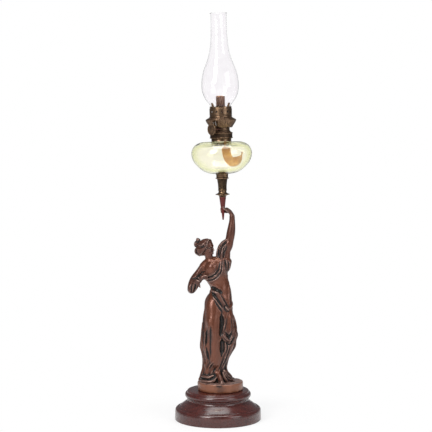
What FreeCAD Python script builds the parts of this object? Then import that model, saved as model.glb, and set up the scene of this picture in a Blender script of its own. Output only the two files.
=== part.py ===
"""Kerosene table lamp: a draped figure on a two-tier turned socle holds up a torch with the lamp on it.

Millimetres, +Z up. The origin is the middle of the socle's underside, and the front is -Y.
The torch and everything above it lean a little, so they share one axis of their own: `lamp_lean`.
"""
import FreeCAD
import Part
import math
import os
import re
import Sketcher

V = FreeCAD.Vector
doc = FreeCAD.newDocument("kerosene_figure_lamp")
sheet = doc.addObject("Spreadsheet::Sheet", "Sizes")

# ---------------------------------------------------------------------------------------------
# Driving dimensions
# ---------------------------------------------------------------------------------------------

SIZES = {
    "socle": {
        "plinth_radius": 88.8, "plinth_side": 19.0, "plinth_shoulder": 6.8, "plinth_rise": 15.9,
        "step_depth": 0.8, "step_width": 1.4, "neck_radius": 63.5,
        "upper_rise": 19.3, "upper_bead": 3.6,
        "counterbore_radius": 16.0, "counterbore_depth": 13.0,
    },
    "tie rod": {
        "rod_radius": 4.0, "rod_play": 0.5, "rod_grip": 9.0,
        "nut_across": 13.0, "nut_height": 6.5, "tie_washer_radius": 13.0, "tie_washer_thickness": 1.6,
    },
    "terrace": {
        "terrace_radius": 47.5, "terrace_height": 19.3, "terrace_wall": 2.5, "boss_radius": 9.0,
        "terrace_side": 4.9,
    },
    "raised arm": {
        "arm_root_radius": 9.8, "arm_elbow_radius": 8.4, "wrist_radius": 5.4,
        "palm_radius": 5.2, "finger_radius": 1.8,
    },
    "bent arm": {
        "sleeve_radius": 11.0, "bent_elbow_radius": 7.4, "bent_wrist_radius": 4.6, "bent_hand_radius": 5.2,
    },
    "figure": {
        "casting_wall": 3.0, "fold_depth": 1.5, "nape_radius": 7.5,
        "crown_radius": 15.3, "chin_radius": 8.4, "bun_radius": 7.5, "knot_radius": 4.6,
    },
    "torch": {
        "tip_side": 10.6, "tip_height": 413.3, "lamp_lean": 1.33,
        "torch_tip_radius": 1.5, "torch_top_radius": 6.9, "torch_length": 46.9,
        "link_radius": 2.5, "link_depth": 16.0,
        "flange_radius": 14.35, "flange_height": 15.4, "flange_rise": 5.0, "flange_edge": 1.3,
        "barrel_foot_radius": 8.6, "barrel_top_radius": 10.5, "barrel_height": 21.2, "barrel_wall": 1.1,
        "cup_radius": 12.6, "cup_ring_radius": 13.8, "cup_height": 11.0, "cup_wall": 1.2, "cup_floor": 4.6,
    },
    "font": {
        "font_radius": 61.9, "font_height": 66.0, "font_belly": 41.5, "font_foot_radius": 20.0,
        "font_lower_radius": 50.2, "font_lower_rise": 17.0,
        "font_shoulder_radius": 55.4, "font_shoulder_drop": 8.2, "font_top_radius": 40.0,
        "glass_wall": 3.0, "peg_radius": 8.0, "peg_depth": 5.6,
        "glass_neck_radius": 18.0, "glass_neck_height": 7.5,
    },
    "collar": {
        "cement_gap": 1.4, "collar_skirt": 0.9, "collar_skirt_height": 6.2, "collar_radius": 23.6,
        "collar_height": 19.4, "thread_radius": 15.5, "thread_play": 0.3, "thread_length": 10.5,
        "gasket_thickness": 1.2, "gasket_radius": 20.0,
    },
    "burner": {
        "bowl_radius": 17.6, "bowl_height": 9.0, "sheet_metal": 0.8,
        "bowl_flange": 1.1, "bowl_flange_height": 1.4, "bowl_fillet": 0.8,
        "deck_radius": 21.5, "deck_thickness": 1.0, "wick_passage": 13.2,
        "air_hole_radius": 1.5, "air_hole_ring": 14.2, "air_holes": 12,
        "basket_sheet": 0.6, "basket_radius": 31.0, "basket_flare": 14.6, "basket_dome": 8.2,
        "slot_width": 2.0, "slot_margin": 2.6, "slots": 24,
        "gallery_radius": 22.3, "gallery_height": 17.2, "gallery_ledge": 1.8,
        "window_radius": 2.1, "window_level": 7.6, "windows": 12,
        "prong_rise": 8.6, "prong_reach": 3.2, "prong_width": 5.2, "prongs": 4, "prong_turn": 45.0,
    },
    "wick and its tubes": {
        "wick_tube_radius": 9.2, "tube_wall": 0.5, "wick_tube_length": 62.6,
        "wick_thickness": 1.95, "wick_play": 0.3, "wick_stand": 1.0, "wick_slot": 4.2,
        "wick_skirt": 14.0, "tail_width": 18.0, "tail_reach": 38.0, "tail_floor": 8.5, "tail_end": 18.5,
        "web_thickness": 2.4, "web_height": 9.0,
    },
    "wick winder": {
        "shaft_level": 4.8, "shaft_turn": 222.2, "shaft_radius": 1.2, "shaft_play": 0.08,
        "sleeve_wall": 1.0, "sleeve_length": 15.5, "shaft_tail": 10.5, "shaft_reach": 38.0,
        "wheel_radius": 3.0, "wheel_width": 1.4, "wheel_spread": 2.0, "teeth": 10, "tooth_height": 0.7,
        "tooth_width": 0.8, "wheel_gap": 0.3,
        "knob_radius": 12.0, "knob_thickness": 2.6, "knob_hub_radius": 3.4, "knob_hub": 5.0,
        "knob_rim": 1.2,
    },
    "chimney": {
        "chimney_wall": 1.5, "foot_radius": 19.7, "foot_height": 13.2, "throat_radius": 25.5,
        "throat_rise": 11.8, "belly_radius": 38.0, "belly_rise": 33.5,
        "shoulder_radius": 28.7, "shoulder_rise": 43.0, "stack_foot_radius": 17.2, "stack_foot_rise": 51.5,
        "stack_radius": 16.2, "stack_height": 47.0, "lip_radius": 17.6, "lip_height": 5.5,
    },
}

# The figure's cross-sections, from the hem up: height above the terrace, sideways and backward place of
# the middle, width, depth. Each number is a size of its own, named after the place on the body.
STATIONS = {
    "hem": (0.0, -3.0, 1.0, 63.0, 50.0),
    "ankle": (18.0, -7.0, 1.0, 52.0, 42.0),
    "shin": (42.6, -6.0, 0.0, 49.5, 41.0),
    "knee": (67.2, -3.0, -2.0, 64.0, 48.0),
    "mid_thigh": (91.8, 2.0, -1.0, 71.5, 52.0),
    "thigh": (120.5, 1.0, 0.0, 62.5, 54.0),
    "hip": (153.0, -1.0, 1.0, 55.5, 54.0),
    "flank": (178.0, 4.0, 1.0, 48.0, 46.0),
    "waist": (194.5, 3.0, 0.0, 42.0, 38.0),
    "ribs": (212.0, -2.0, -1.0, 46.0, 40.0),
    "bust": (231.5, -5.0, -2.0, 60.0, 44.0),
    "shoulders": (250.5, -4.0, 0.0, 53.0, 32.0),
    "nape": (262.0, -7.0, 0.0, 34.0, 23.0),
}
FOLDS = {"hem": 1.0, "ankle": 1.0, "shin": 1.0, "knee": 0.9, "mid_thigh": 0.9, "thigh": 0.7, "hip": 0.4}

# Places of the arms' joints and of the head: sideways, backward, height above the terrace.
PLACES = {
    "raised_shoulder": (6.0, 3.0, 259.0), "raised_elbow": (27.5, 2.0, 295.0),
    "bent_shoulder": (-28.0, 1.0, 243.0), "bent_elbow": (-54.5, 6.0, 188.5),
    "bent_wrist": (-33.5, -13.0, 203.0),
    "crown": (-25.0, -1.0, 280.5), "chin": (-17.5, -5.0, 268.5),
    "bun": (-43.0, 3.0, 280.0), "knot": (-38.0, 0.0, 291.0),
}
# The raised hand's places, counted from the torch's tip: sideways, backward, height.
GRIP = {"raised_wrist": (17.4, 1.0, 9.0), "palm": (9.4, 0.5, 19.0)}


def fill_sheet():
    """Writes every driving dimension to its own cell, as a plain number with an alias."""
    row = 1
    groups = dict(SIZES)
    groups["figure stations"] = {
        f"{place}_{what}": value
        for place, values in STATIONS.items()
        for what, value in zip(("rise", "side", "back", "width", "depth"), values)
    }
    groups["figure places"] = {
        f"{place}_{what}": value
        for place, values in (PLACES | GRIP).items()
        for what, value in zip(("side", "back", "rise"), values)
    }
    for group, sizes in groups.items():
        sheet.set(f"A{row}", f"'{group}")
        row += 1
        for alias, value in sizes.items():
            sheet.set(f"A{row}", f"'{alias}")
            sheet.set(f"B{row}", str(value))
            sheet.setAlias(f"B{row}", alias)
            row += 1
    doc.recompute()


fill_sheet()

# ---------------------------------------------------------------------------------------------
# Levels along the lamp's axis, counted from the tip of the torch
# ---------------------------------------------------------------------------------------------

PLINTH_TOP = "plinth_side + plinth_shoulder + plinth_rise"
SOCLE_TOP = f"{PLINTH_TOP} + upper_rise"
TERRACE_TOP = f"{SOCLE_TOP} + terrace_height"
BARREL_BASE = "torch_length + flange_height"
CUP_BASE = f"{BARREL_BASE} + barrel_height"
FONT_BASE = f"{CUP_BASE} + cup_height"
FONT_TOP = f"{FONT_BASE} + font_height"
COLLAR_TOP = f"{FONT_TOP} + collar_height"
BURNER_BASE = f"{COLLAR_TOP} + gasket_thickness"
DECK_TOP = f"{BURNER_BASE} + bowl_height"
GALLERY_BASE = f"{DECK_TOP} + basket_flare + basket_dome"
SEAT = f"{GALLERY_BASE} + gallery_ledge"
TUBE_TOP = f"{DECK_TOP} + wick_tube_length"
SHAFT_LEVEL = f"{BURNER_BASE} + shaft_level"
WICK_OUTER = "(wick_tube_radius - tube_wall - wick_play)"
WICK_INNER = f"({WICK_OUTER} - wick_thickness)"
SHAFT_OFFSET = f"({WICK_OUTER} + wheel_gap + wheel_radius)"


def bind(text):
    """Turns size names into references to the sheet's cells."""
    return re.sub(r"\b(?!sqrt\b|cos\b|sin\b|tan\b|max\b|min\b)([a-z][a-z_]+)\b", r"Sizes.\1", text)


def value(text):
    """The number that an expression of size names has now."""
    return float(sheet.evalExpression(bind(text)))


# ---------------------------------------------------------------------------------------------
# Makers: turned pieces, cuts in them, plain solids
# ---------------------------------------------------------------------------------------------

parts = []


def plane(body, role):
    return [f for f in body.Origin.OriginFeatures if f.Role == role][0]


def new_sketch(body, name, role):
    sketch = body.newObject("Sketcher::SketchObject", name)
    sketch.AttachmentSupport = [(plane(body, role), "")]
    sketch.MapMode = "FlatFace"
    return sketch


def pin_point(sketch, geo, pos, x_text, y_text):
    """Dimensions a sketch point from the origin, or puts it on an axis where the size is 0."""
    for kind, text, axis in (("DistanceX", x_text, -2), ("DistanceY", y_text, -1)):
        if text == "0":
            sketch.addConstraint(Sketcher.Constraint("PointOnObject", geo, pos, axis))
        else:
            at = sketch.addConstraint(Sketcher.Constraint(kind, -1, 1, geo, pos, value(text)))
            sketch.setExpression(f"Constraints[{at}]", bind(text))


def draw_outline(sketch, points):
    """Draws a closed outline. A point is (x, y) after a straight line, or (x, y, sweep) after an arc of
    that many degrees, which bulges to the right of its way if sweep is above 0."""
    ends = []
    for start, end in zip(points, points[1:] + points[:1]):
        a = V(value(start[0]), value(start[1]), 0)
        b = V(value(end[0]), value(end[1]), 0)
        if len(end) == 3:
            chord = b - a
            side = V(chord.y, -chord.x, 0)
            middle = (a + b) * 0.5 + side * (0.5 * math.tan(math.radians(end[2]) / 4))
            # a sketch keeps its arcs anticlockwise, so an arc that bulges left is drawn from its far end
            forward = end[2] > 0
            geo = sketch.addGeometry(Part.Arc(a, middle, b) if forward else Part.Arc(b, middle, a))
            ends.append((geo, 1, 2) if forward else (geo, 2, 1))
            sketch.addConstraint(Sketcher.Constraint("Angle", geo, math.radians(abs(end[2]))))
        else:
            geo = sketch.addGeometry(Part.LineSegment(a, b))
            ends.append((geo, 1, 2))
    for k, (geo, first, last) in enumerate(ends):
        after = ends[(k + 1) % len(ends)]
        sketch.addConstraint(Sketcher.Constraint("Coincident", geo, last, after[0], after[1]))
        pin_point(sketch, geo, first, points[k][0], points[k][1])
    return sketch


def turned(label, points):
    """A piece turned about its own Z axis from an outline of radius and height."""
    body = doc.addObject("PartDesign::Body", label)
    sketch = draw_outline(new_sketch(body, label + "_outline", "XZ_Plane"), points)
    spin = body.newObject("PartDesign::Revolution", label + "_turn")
    spin.Profile = sketch
    spin.ReferenceAxis = (sketch, ["V_Axis"])
    spin.Angle = 360
    doc.recompute()
    parts.append(body)
    return body


def cut_around(body, name, draw, count_text):
    """Cuts a sketch drawn on the YZ plane outward along +X, and repeats the cut around the axis."""
    before = body.Shape.Volume
    sketch = new_sketch(body, name + "_outline", "YZ_Plane")
    draw(sketch)
    cut = body.newObject("PartDesign::Pocket", name)
    cut.Profile = sketch
    cut.Type = "ThroughAll"
    cut.Reversed = True
    doc.recompute()
    repeat_around(body, cut, count_text)
    if body.Shape.Volume >= before:
        raise RuntimeError(name + " cuts nothing")


def repeat_around(body, feature, count_text):
    pattern = body.newObject("PartDesign::PolarPattern", feature.Name + "_ring")
    pattern.Originals = [feature]
    pattern.Axis = (plane(body, "Z_Axis"), [""])
    pattern.Angle = 360
    pattern.setExpression("Occurrences", bind(count_text))
    body.Tip = pattern
    doc.recompute()


def circle_cut(y_text, z_text, radius_text):
    """Returns a drawer of one dimensioned circle."""
    def draw(sketch):
        middle = V(value(y_text), value(z_text), 0)
        geo = sketch.addGeometry(Part.Circle(middle, V(0, 0, 1), value(radius_text)))
        pin_point(sketch, geo, 3, y_text, z_text)
        at = sketch.addConstraint(Sketcher.Constraint("Radius", geo, value(radius_text)))
        sketch.setExpression(f"Constraints[{at}]", bind(radius_text))
    return draw


def strip_cut(width_text, low_text, high_text):
    """Returns a drawer of an upright slot centred on the sketch's vertical axis."""
    half = f"({width_text}) / 2"

    def draw(sketch):
        corners = [(f"-{half}", low_text), (half, low_text), (half, high_text), (f"-{half}", high_text)]
        draw_outline(sketch, corners)
    return draw


def plain(kind, label, **sizes):
    """A primitive whose properties are bound to expressions."""
    solid = doc.addObject(f"Part::{kind}", label)
    for name, text in sizes.items():
        solid.setExpression(name, bind(text))
    return solid


def combined(kind, label, base, tool):
    solid = doc.addObject(f"Part::{kind}", label)
    solid.Base = base
    solid.Tool = tool
    return solid


def fused(label, *solids):
    union = doc.addObject("Part::MultiFuse", label)
    union.Shapes = list(solids)
    return union


def part(obj):
    parts.append(obj)
    return obj


def place(obj, x="0", y="0", z="0"):
    """Binds an object's place in its own frame."""
    for axis, text in zip("xyz", (x, y, z)):
        if text != "0":
            obj.setExpression(f".Placement.Base.{axis}", bind(text))
    return obj


def on_lamp(obj, turn="0", side="0", level="0"):
    """Puts a piece on the lamp's leaning axis: raised, turned about it, then moved sideways."""
    lean = "create(<<rotation>>; create(<<vector>>; 0; -1; 0); lamp_lean)"
    spin = f"create(<<rotation>>; create(<<vector>>; 0; 0; 1); {turn})"
    tip = "create(<<placement>>; create(<<vector>>; tip_side; 0; tip_height); " + lean + ")"
    own = f"create(<<placement>>; create(<<vector>>; 0; 0; {level}); {spin})"
    shift = f"create(<<placement>>; create(<<vector>>; 0; {side}; 0); create(<<rotation>>; 0; 0; 0))"
    text = f"{tip} * {own} * {shift}"
    text = re.sub(r"<<(\w+)>>|\b(create)\b|\b([a-z][a-z_]+)\b", lamp_word, text)
    obj.setExpression("Placement", text)
    return obj


def lamp_word(match):
    if match.group(1):
        return f"<<{match.group(1)}>>"
    return match.group(2) or "Sizes." + match.group(3)


# ---------------------------------------------------------------------------------------------
# Socle: two turned wooden tiers on a tie rod, and the cast terrace
# ---------------------------------------------------------------------------------------------

def make_socle():
    hole = "rod_radius + rod_play"
    shoulder = "plinth_side + plinth_shoulder"
    step = "plinth_radius - plinth_shoulder"
    turned("lower_plinth", [
        ("counterbore_radius", "0"), ("plinth_radius - 0.8", "0"), ("plinth_radius", "0.8"),
        ("plinth_radius", "plinth_side"), ("plinth_radius - 0.74 * plinth_shoulder", shoulder, 75),
        (f"{step} + 0.6", shoulder), (f"{step} + 0.6", f"{shoulder} - step_depth"),
        (f"{step} - step_width", f"{shoulder} - step_depth"),
        (f"{step} - step_width", f"{shoulder} + step_depth"),
        ("neck_radius + 3.0", f"{PLINTH_TOP} - 4.3", 16),
        ("neck_radius", PLINTH_TOP, -48), (hole, PLINTH_TOP),
        (hole, "counterbore_depth"), ("counterbore_radius", "counterbore_depth"),
    ])
    bead = "neck_radius + upper_bead"
    body = turned("upper_plinth", [
        (hole, "0"), ("neck_radius", "0"), ("neck_radius + 0.9", "2.6", -50), ("neck_radius + 1.4", "3.4"),
        ("neck_radius + 1.4", "4.4"), (f"{bead} - 2.0", "0.86 * upper_rise - 0.8", 118),
        (f"{bead} - 3.4", "0.86 * upper_rise - 0.8"), (f"{bead} - 3.4", "0.86 * upper_rise + 0.6"),
        (f"{bead} - 5.2", "upper_rise", 80), (hole, "upper_rise"),
    ])
    place(body, z=PLINTH_TOP)
    make_terrace()
    washer_top = "counterbore_depth"
    rod_foot = f"{washer_top} - tie_washer_thickness - nut_height - 2.0"
    rod = plain("Cylinder", "tie_rod", Radius="rod_radius", Height=f"{SOCLE_TOP} + rod_grip - ({rod_foot})")
    part(place(rod, z=rod_foot))
    body = turned("tie_washer", [
        ("rod_radius", "0"), ("tie_washer_radius", "0"), ("tie_washer_radius", "tie_washer_thickness"),
        ("rod_radius", "tie_washer_thickness"),
    ])
    place(body, z=f"{washer_top} - tie_washer_thickness")
    nut = plain("Prism", "nut_blank", Circumradius="nut_across / sqrt(3)", Height="nut_height")
    nut.Polygon = 6
    bore = plain("Cylinder", "nut_bore", Radius="rod_radius", Height="nut_height")
    nut_level = f"{washer_top} - tie_washer_thickness - nut_height"
    part(place(combined("Cut", "tie_nut", nut, bore), z=nut_level))


def make_terrace():
    """The cast drum under the figure, set to one side of the tie rod, which is screwed into its boss."""
    inner = "terrace_radius - terrace_wall"
    roof = "terrace_height - terrace_wall"
    shell = turned("terrace_shell", [
        (inner, "0"), ("terrace_radius", "0"), ("terrace_radius", "terrace_height - 1.6"),
        ("terrace_radius - 1.6", "terrace_height", 80), ("0", "terrace_height"), ("0", roof), (inner, roof),
    ])
    parts.remove(shell)
    boss = plain("Cylinder", "terrace_boss", Radius="boss_radius", Height=roof)
    place(boss, x="-terrace_side")
    bore = plain("Cylinder", "terrace_bore", Radius="rod_radius", Height="rod_grip")
    place(bore, x="-terrace_side")
    terrace = combined("Cut", "terrace", fused("terrace_casting", shell, boss), bore)
    part(place(terrace, x="terrace_side", z=SOCLE_TOP))


# ---------------------------------------------------------------------------------------------
# Figure: hollow castings, soldered together
# ---------------------------------------------------------------------------------------------

SECTION_POINTS = 40
FOLD_COUNT = 11


def station_wire(name, inset, folded):
    """One cross-section: an oval of the station's width and depth, with the drapery's folds."""
    width = value(f"{name}_width") / 2 - inset
    depth = value(f"{name}_depth") / 2 - inset
    ripple = value("fold_depth") * FOLDS.get(name, 0.0) if folded else 0.0
    height = value(f"{TERRACE_TOP} + {name}_rise")
    points = []
    for k in range(SECTION_POINTS):
        turn = 2 * math.pi * k / SECTION_POINTS
        wave = ripple * math.sin(FOLD_COUNT * turn + 0.03 * height)
        points.append(V(
            value(f"{name}_side") + (width + wave) * math.cos(turn),
            value(f"{name}_back") + (depth + wave) * math.sin(turn),
            height,
        ))
    curve = Part.BSplineCurve()
    curve.interpolate(points, PeriodicFlag=True)
    return Part.Wire([curve.toShape()])


def loft_stations(names, inset=0.0, folded=True):
    return Part.makeLoft([station_wire(n, inset, folded) for n in names], True, False)


def spot(name):
    """A place on the figure, or on the hand that holds the torch, in the part's frame."""
    side, level = ("tip_side + ", "tip_height") if name in GRIP else ("", TERRACE_TOP)
    return V(value(f"{side}{name}_side"), value(f"{name}_back"), value(f"{level} + {name}_rise"))


def limb(places, radii):
    """Tapered lengths of arm between places, each a little slimmer than the joints it runs between."""
    slim = 0.97
    sizes = [value(radius) for radius in radii]
    solids = [Part.makeSphere(size, middle) for middle, size in zip(places, sizes)]
    for k, size in enumerate(sizes[:-1]):
        axis = places[k + 1] - places[k]
        if abs(size - sizes[k + 1]) < 0.01:
            solids.append(Part.makeCylinder(slim * size, axis.Length, places[k], axis))
        else:
            solids.append(Part.makeCone(slim * size, slim * sizes[k + 1], axis.Length, places[k], axis))
    return solids[0].fuse(solids[1:])


def feature(label, shape):
    solid = doc.addObject("Part::Feature", label)
    solid.Shape = shape
    return part(solid)


def closed_fingers():
    """Four fingers bent round the torch, one above the other, level with the palm."""
    up = FreeCAD.Rotation(V(0, -1, 0), value("lamp_lean")).multVec(V(0, 0, 1))
    tip = V(value("tip_side"), 0, value("tip_height"))
    grip = value("palm_rise")
    flare = value("(torch_top_radius - torch_tip_radius) / torch_length")
    pitch = value("1.8 * finger_radius")
    fingers = []
    for k in range(4):
        level = grip + (k - 1.5) * pitch
        bend = value("torch_tip_radius + 0.5 * finger_radius") + flare * level
        fingers.append(Part.makeTorus(bend, value("finger_radius"), tip + up * level, up))
    return fingers


def make_figure(handle):
    """The draped body in two castings, the head and the two arms; the raised hand holds `handle`."""
    names = list(STATIONS)
    seam = names.index("flank")
    inset = value("casting_wall + fold_depth")
    skirt = loft_stations(names[:seam + 1])
    feature("figure_skirt", skirt.cut(loft_stations(names[:seam + 1], inset, folded=False)))
    body = loft_stations(names[seam:])
    feature("figure_torso", body.cut(loft_stations(names[seam:seam + 4], inset, folded=False)))

    neck = [spot("nape") - V(0, 0, value("nape_radius")), spot("crown")]
    head = limb([spot("chin"), spot("crown"), spot("bun"), spot("knot")],
                ["chin_radius", "crown_radius", "bun_radius", "knot_radius"])
    head = head.fuse(limb(neck, ["nape_radius"] * 2))
    feature("figure_head", head.cut(body))

    arm = limb(
        [spot("raised_shoulder"), spot("raised_elbow"), spot("raised_wrist"), spot("palm")],
        ["arm_root_radius", "arm_elbow_radius", "wrist_radius", "palm_radius"],
    )
    feature("raised_arm", arm.fuse(closed_fingers()).cut([body, handle.Shape]))

    elbow = spot("bent_elbow")
    wrist = spot("bent_wrist")
    hand = wrist + (wrist - elbow).normalize() * value("1.5 * bent_hand_radius")
    bent = limb(
        [spot("bent_shoulder"), elbow, wrist, hand],
        ["sleeve_radius", "bent_elbow_radius", "bent_wrist_radius", "bent_hand_radius"],
    )
    feature("bent_arm", bent.cut(body))


# ---------------------------------------------------------------------------------------------
# Torch: cone, flange, barrel and cup on one threaded link
# ---------------------------------------------------------------------------------------------

def make_torch():
    """Makes the torch's pieces and returns its handle."""
    handle = on_lamp(turned("torch_handle", [
        ("0", "0"), ("torch_tip_radius", "torch_tip_radius", 90), ("torch_top_radius", "torch_length"),
        ("link_radius", "torch_length"), ("link_radius", "torch_length - link_depth"),
        ("0", "torch_length - link_depth"),
    ]))
    on_lamp(turned("torch_flange", [
        ("link_radius", "0"), ("torch_top_radius", "0"),
        ("flange_radius", "flange_rise", -50), ("flange_radius", "flange_rise + flange_edge"),
        ("barrel_foot_radius - 0.6", "flange_rise + 6.5", -60),
        ("barrel_foot_radius - 0.6", "flange_height - 2.4"),
        ("barrel_foot_radius + 0.8", "flange_height - 1.2", 90),
        ("barrel_foot_radius", "flange_height", 90),
        ("link_radius", "flange_height"),
    ]), level="torch_length")
    on_lamp(turned("torch_barrel", [
        ("barrel_foot_radius - barrel_wall", "0"), ("barrel_foot_radius", "0"),
        ("barrel_top_radius", "barrel_height", -12),
        ("barrel_top_radius - barrel_wall", "barrel_height"),
    ]), level=BARREL_BASE)
    on_lamp(turned("font_cup", [
        ("link_radius", "0"), ("barrel_top_radius", "0"), ("cup_ring_radius", "1.4", -60),
        ("cup_ring_radius", "2.6", 120), ("cup_radius - 0.8", "4.0", -60),
        ("cup_radius", "cup_height", -14),
        ("cup_radius - cup_wall", "cup_height"), ("cup_radius - cup_wall - 0.8", "cup_floor"),
        ("link_radius", "cup_floor"),
    ]), level=CUP_BASE)
    link_length = "link_depth + flange_height + barrel_height + cup_floor"
    link = plain("Cylinder", "torch_link", Radius="link_radius", Height=link_length)
    part(on_lamp(link, level="torch_length - link_depth"))
    doc.recompute()
    return handle


# ---------------------------------------------------------------------------------------------
# Font: glass reservoir, cemented in its cup and in its collar
# ---------------------------------------------------------------------------------------------

def make_font():
    belly = "font_belly"
    shoulder = "font_height - font_shoulder_drop"
    on_lamp(turned("glass_font", [
        ("0", "-peg_depth"), ("peg_radius", "-peg_depth"), ("peg_radius", "0"), ("font_foot_radius", "0"),
        ("font_lower_radius", "font_lower_rise", 50), ("font_radius", belly, 46),
        ("font_shoulder_radius", shoulder, 43), ("font_top_radius", "font_height - 0.8", 30),
        ("glass_neck_radius + 1.5", "font_height - 0.3"), ("glass_neck_radius", "font_height"),
        ("glass_neck_radius", "font_height + glass_neck_height"),
        ("glass_neck_radius - glass_wall + 0.4", "font_height + glass_neck_height"),
        ("glass_neck_radius - glass_wall + 0.4", "font_height - 1.5"),
        ("font_top_radius - 0.7", "font_height - 0.8 - glass_wall", -30),
        ("font_shoulder_radius - 0.72 * glass_wall", f"{shoulder} - 0.7 * glass_wall", -25),
        ("font_radius - glass_wall", belly, -40),
        ("font_lower_radius - 0.72 * glass_wall", "font_lower_rise + 0.7 * glass_wall", -44),
        ("font_foot_radius", "1.2 * glass_wall", -48), ("0", "1.2 * glass_wall"),
    ]), level=FONT_BASE)
    peg_foot = "cup_height - peg_depth - cup_floor"
    cup_inside = "cup_radius - cup_wall"
    on_lamp(turned("peg_plaster", [
        ("0", "0"), (f"{cup_inside} - 0.8", "0"), (f"{cup_inside} - 0.3", "peg_depth - 0.2"),
        ("peg_radius", "peg_depth - 0.2"), ("peg_radius", peg_foot), ("0", peg_foot),
    ]), level=f"{CUP_BASE} + cup_floor")
    ring = "glass_neck_radius + cement_gap"
    on_lamp(turned("collar_plaster", [
        ("glass_neck_radius", "0.4"), (ring, "0.4"), (ring, "glass_neck_height"),
        ("glass_neck_radius", "glass_neck_height"),
    ]), level=FONT_TOP)
    skirt = f"{ring} + collar_skirt"
    bore = "thread_radius + thread_play"
    on_lamp(turned("font_collar", [
        (ring, "0.4"), (skirt, "0.4"), (skirt, "collar_skirt_height"),
        ("collar_radius", "collar_skirt_height + 0.8", -70),
        ("collar_radius", "collar_height - 2.2"), ("collar_radius - 1.6", "collar_height - 0.4", 80),
        ("collar_radius - 2.2", "collar_height"), (bore, "collar_height"),
        (bore, "glass_neck_height + 0.4"), (ring, "glass_neck_height + 0.4"),
    ]), level=FONT_TOP)
    on_lamp(turned("collar_gasket", [
        (f"{bore} + 0.2", "0"), ("gasket_radius", "0"), ("gasket_radius", "gasket_thickness"),
        (f"{bore} + 0.2", "gasket_thickness"),
    ]), level=COLLAR_TOP)


# ---------------------------------------------------------------------------------------------
# Burner: screwed bowl, air basket, chimney gallery, wick tube and draught tube
# ---------------------------------------------------------------------------------------------

def make_bowl():
    """The bowl, its thread ring, and the hole for the winder's sleeve through the bowl's wall."""
    under_deck = "bowl_height - deck_thickness"
    inner = "bowl_radius - sheet_metal"
    bowl = turned("bowl_turned", [
        ("wick_passage", "0"), ("bowl_radius + bowl_flange", "0"),
        ("bowl_radius + bowl_flange", "bowl_flange_height"),
        ("bowl_radius", "bowl_flange_height + bowl_fillet", -60), ("bowl_radius", under_deck),
        ("deck_radius", under_deck), ("deck_radius", "bowl_height"), ("wick_tube_radius", "bowl_height"),
        ("wick_tube_radius", under_deck), (inner, under_deck), (inner, "sheet_metal"),
        ("wick_passage", "sheet_metal"),
    ])
    parts.remove(bowl)
    before = bowl.Shape.Volume
    sketch = new_sketch(bowl, "air_hole_outline", "XY_Plane")
    circle_cut("air_hole_ring", "0", "air_hole_radius")(sketch)
    holes = bowl.newObject("PartDesign::Pocket", "air_hole")
    holes.Profile = sketch
    holes.Type = "ThroughAll"
    holes.Reversed = True
    sketch.setExpression(".AttachmentOffset.Base.z", bind(f"{under_deck} - deck_thickness / 5"))
    doc.recompute()
    repeat_around(bowl, holes, "air_holes")
    if bowl.Shape.Volume >= before:
        raise RuntimeError("the air holes cut nothing")
    hole = plain("Cylinder", "sleeve_hole", Radius="shaft_radius + shaft_play + sleeve_wall",
                 Height="bowl_radius + basket_flare")
    hole.Placement.Rotation = FreeCAD.Rotation(V(0, 1, 0), 90)
    place(hole, y=SHAFT_OFFSET, z="shaft_level")
    # the hole is bored in the winder's direction, so bowl and hole are turned together
    part(on_lamp(combined("Cut", "burner_bowl", bowl, hole), turn="shaft_turn", level=BURNER_BASE))
    on_lamp(turned("burner_thread", [
        ("wick_passage", "0"), ("thread_radius", "0"), ("thread_radius", "thread_length"),
        ("wick_passage", "thread_length"),
    ]), level=f"{BURNER_BASE} - thread_length")


def make_basket():
    mouth = "basket_flare + basket_dome"
    rim = "basket_flare"
    inner = "deck_radius"
    basket = turned("air_basket", [
        (inner, "0", 36), (f"{inner} + basket_sheet", "0"), ("basket_radius", f"{rim} - 0.8", -36),
        ("basket_radius - 0.4", f"{rim} + 0.8", 150), ("gallery_radius + 1.2", mouth, 22),
        ("gallery_radius", mouth), ("basket_radius - 0.4 - 2 * basket_sheet", f"{rim} + 0.2", -22),
        ("basket_radius - 2 * basket_sheet", f"{rim} - 0.8", -60),
    ])
    slot = strip_cut("slot_width", "slot_margin", f"{rim} - slot_margin")
    cut_around(basket, "basket_slot", slot, "slots")
    on_lamp(basket, level=f"{DECK_TOP} - deck_thickness")


def make_gallery():
    wall = "gallery_radius - basket_sheet"
    ledge = "gallery_ledge - basket_sheet"
    lift = "deck_thickness"
    top = f"{lift} + gallery_height"
    gallery = turned("chimney_gallery", [
        ("foot_radius - 3.0", f"{lift} + {ledge}"), (wall, f"{lift} + {ledge}"), (wall, "0"),
        ("gallery_radius + 0.6", "0"), ("gallery_radius + 0.6", f"{lift} + 0.6"),
        ("gallery_radius", f"{lift} + 1.4"), ("gallery_radius", top), (wall, top),
        (wall, f"{lift} + gallery_ledge"), ("foot_radius - 3.0", f"{lift} + gallery_ledge"),
    ])
    level = f"{lift} + window_level"
    cut_around(gallery, "window", circle_cut("0", level, "window_radius"), "windows")
    eyelet = circle_cut("window_radius + 0.6", f"{level} - 4.0", "0.45 * window_radius")
    cut_around(gallery, "eyelet", eyelet, "windows")
    add_prongs(gallery, wall, top)
    on_lamp(gallery, turn="prong_turn", level=f"{GALLERY_BASE} - deck_thickness")


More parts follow.
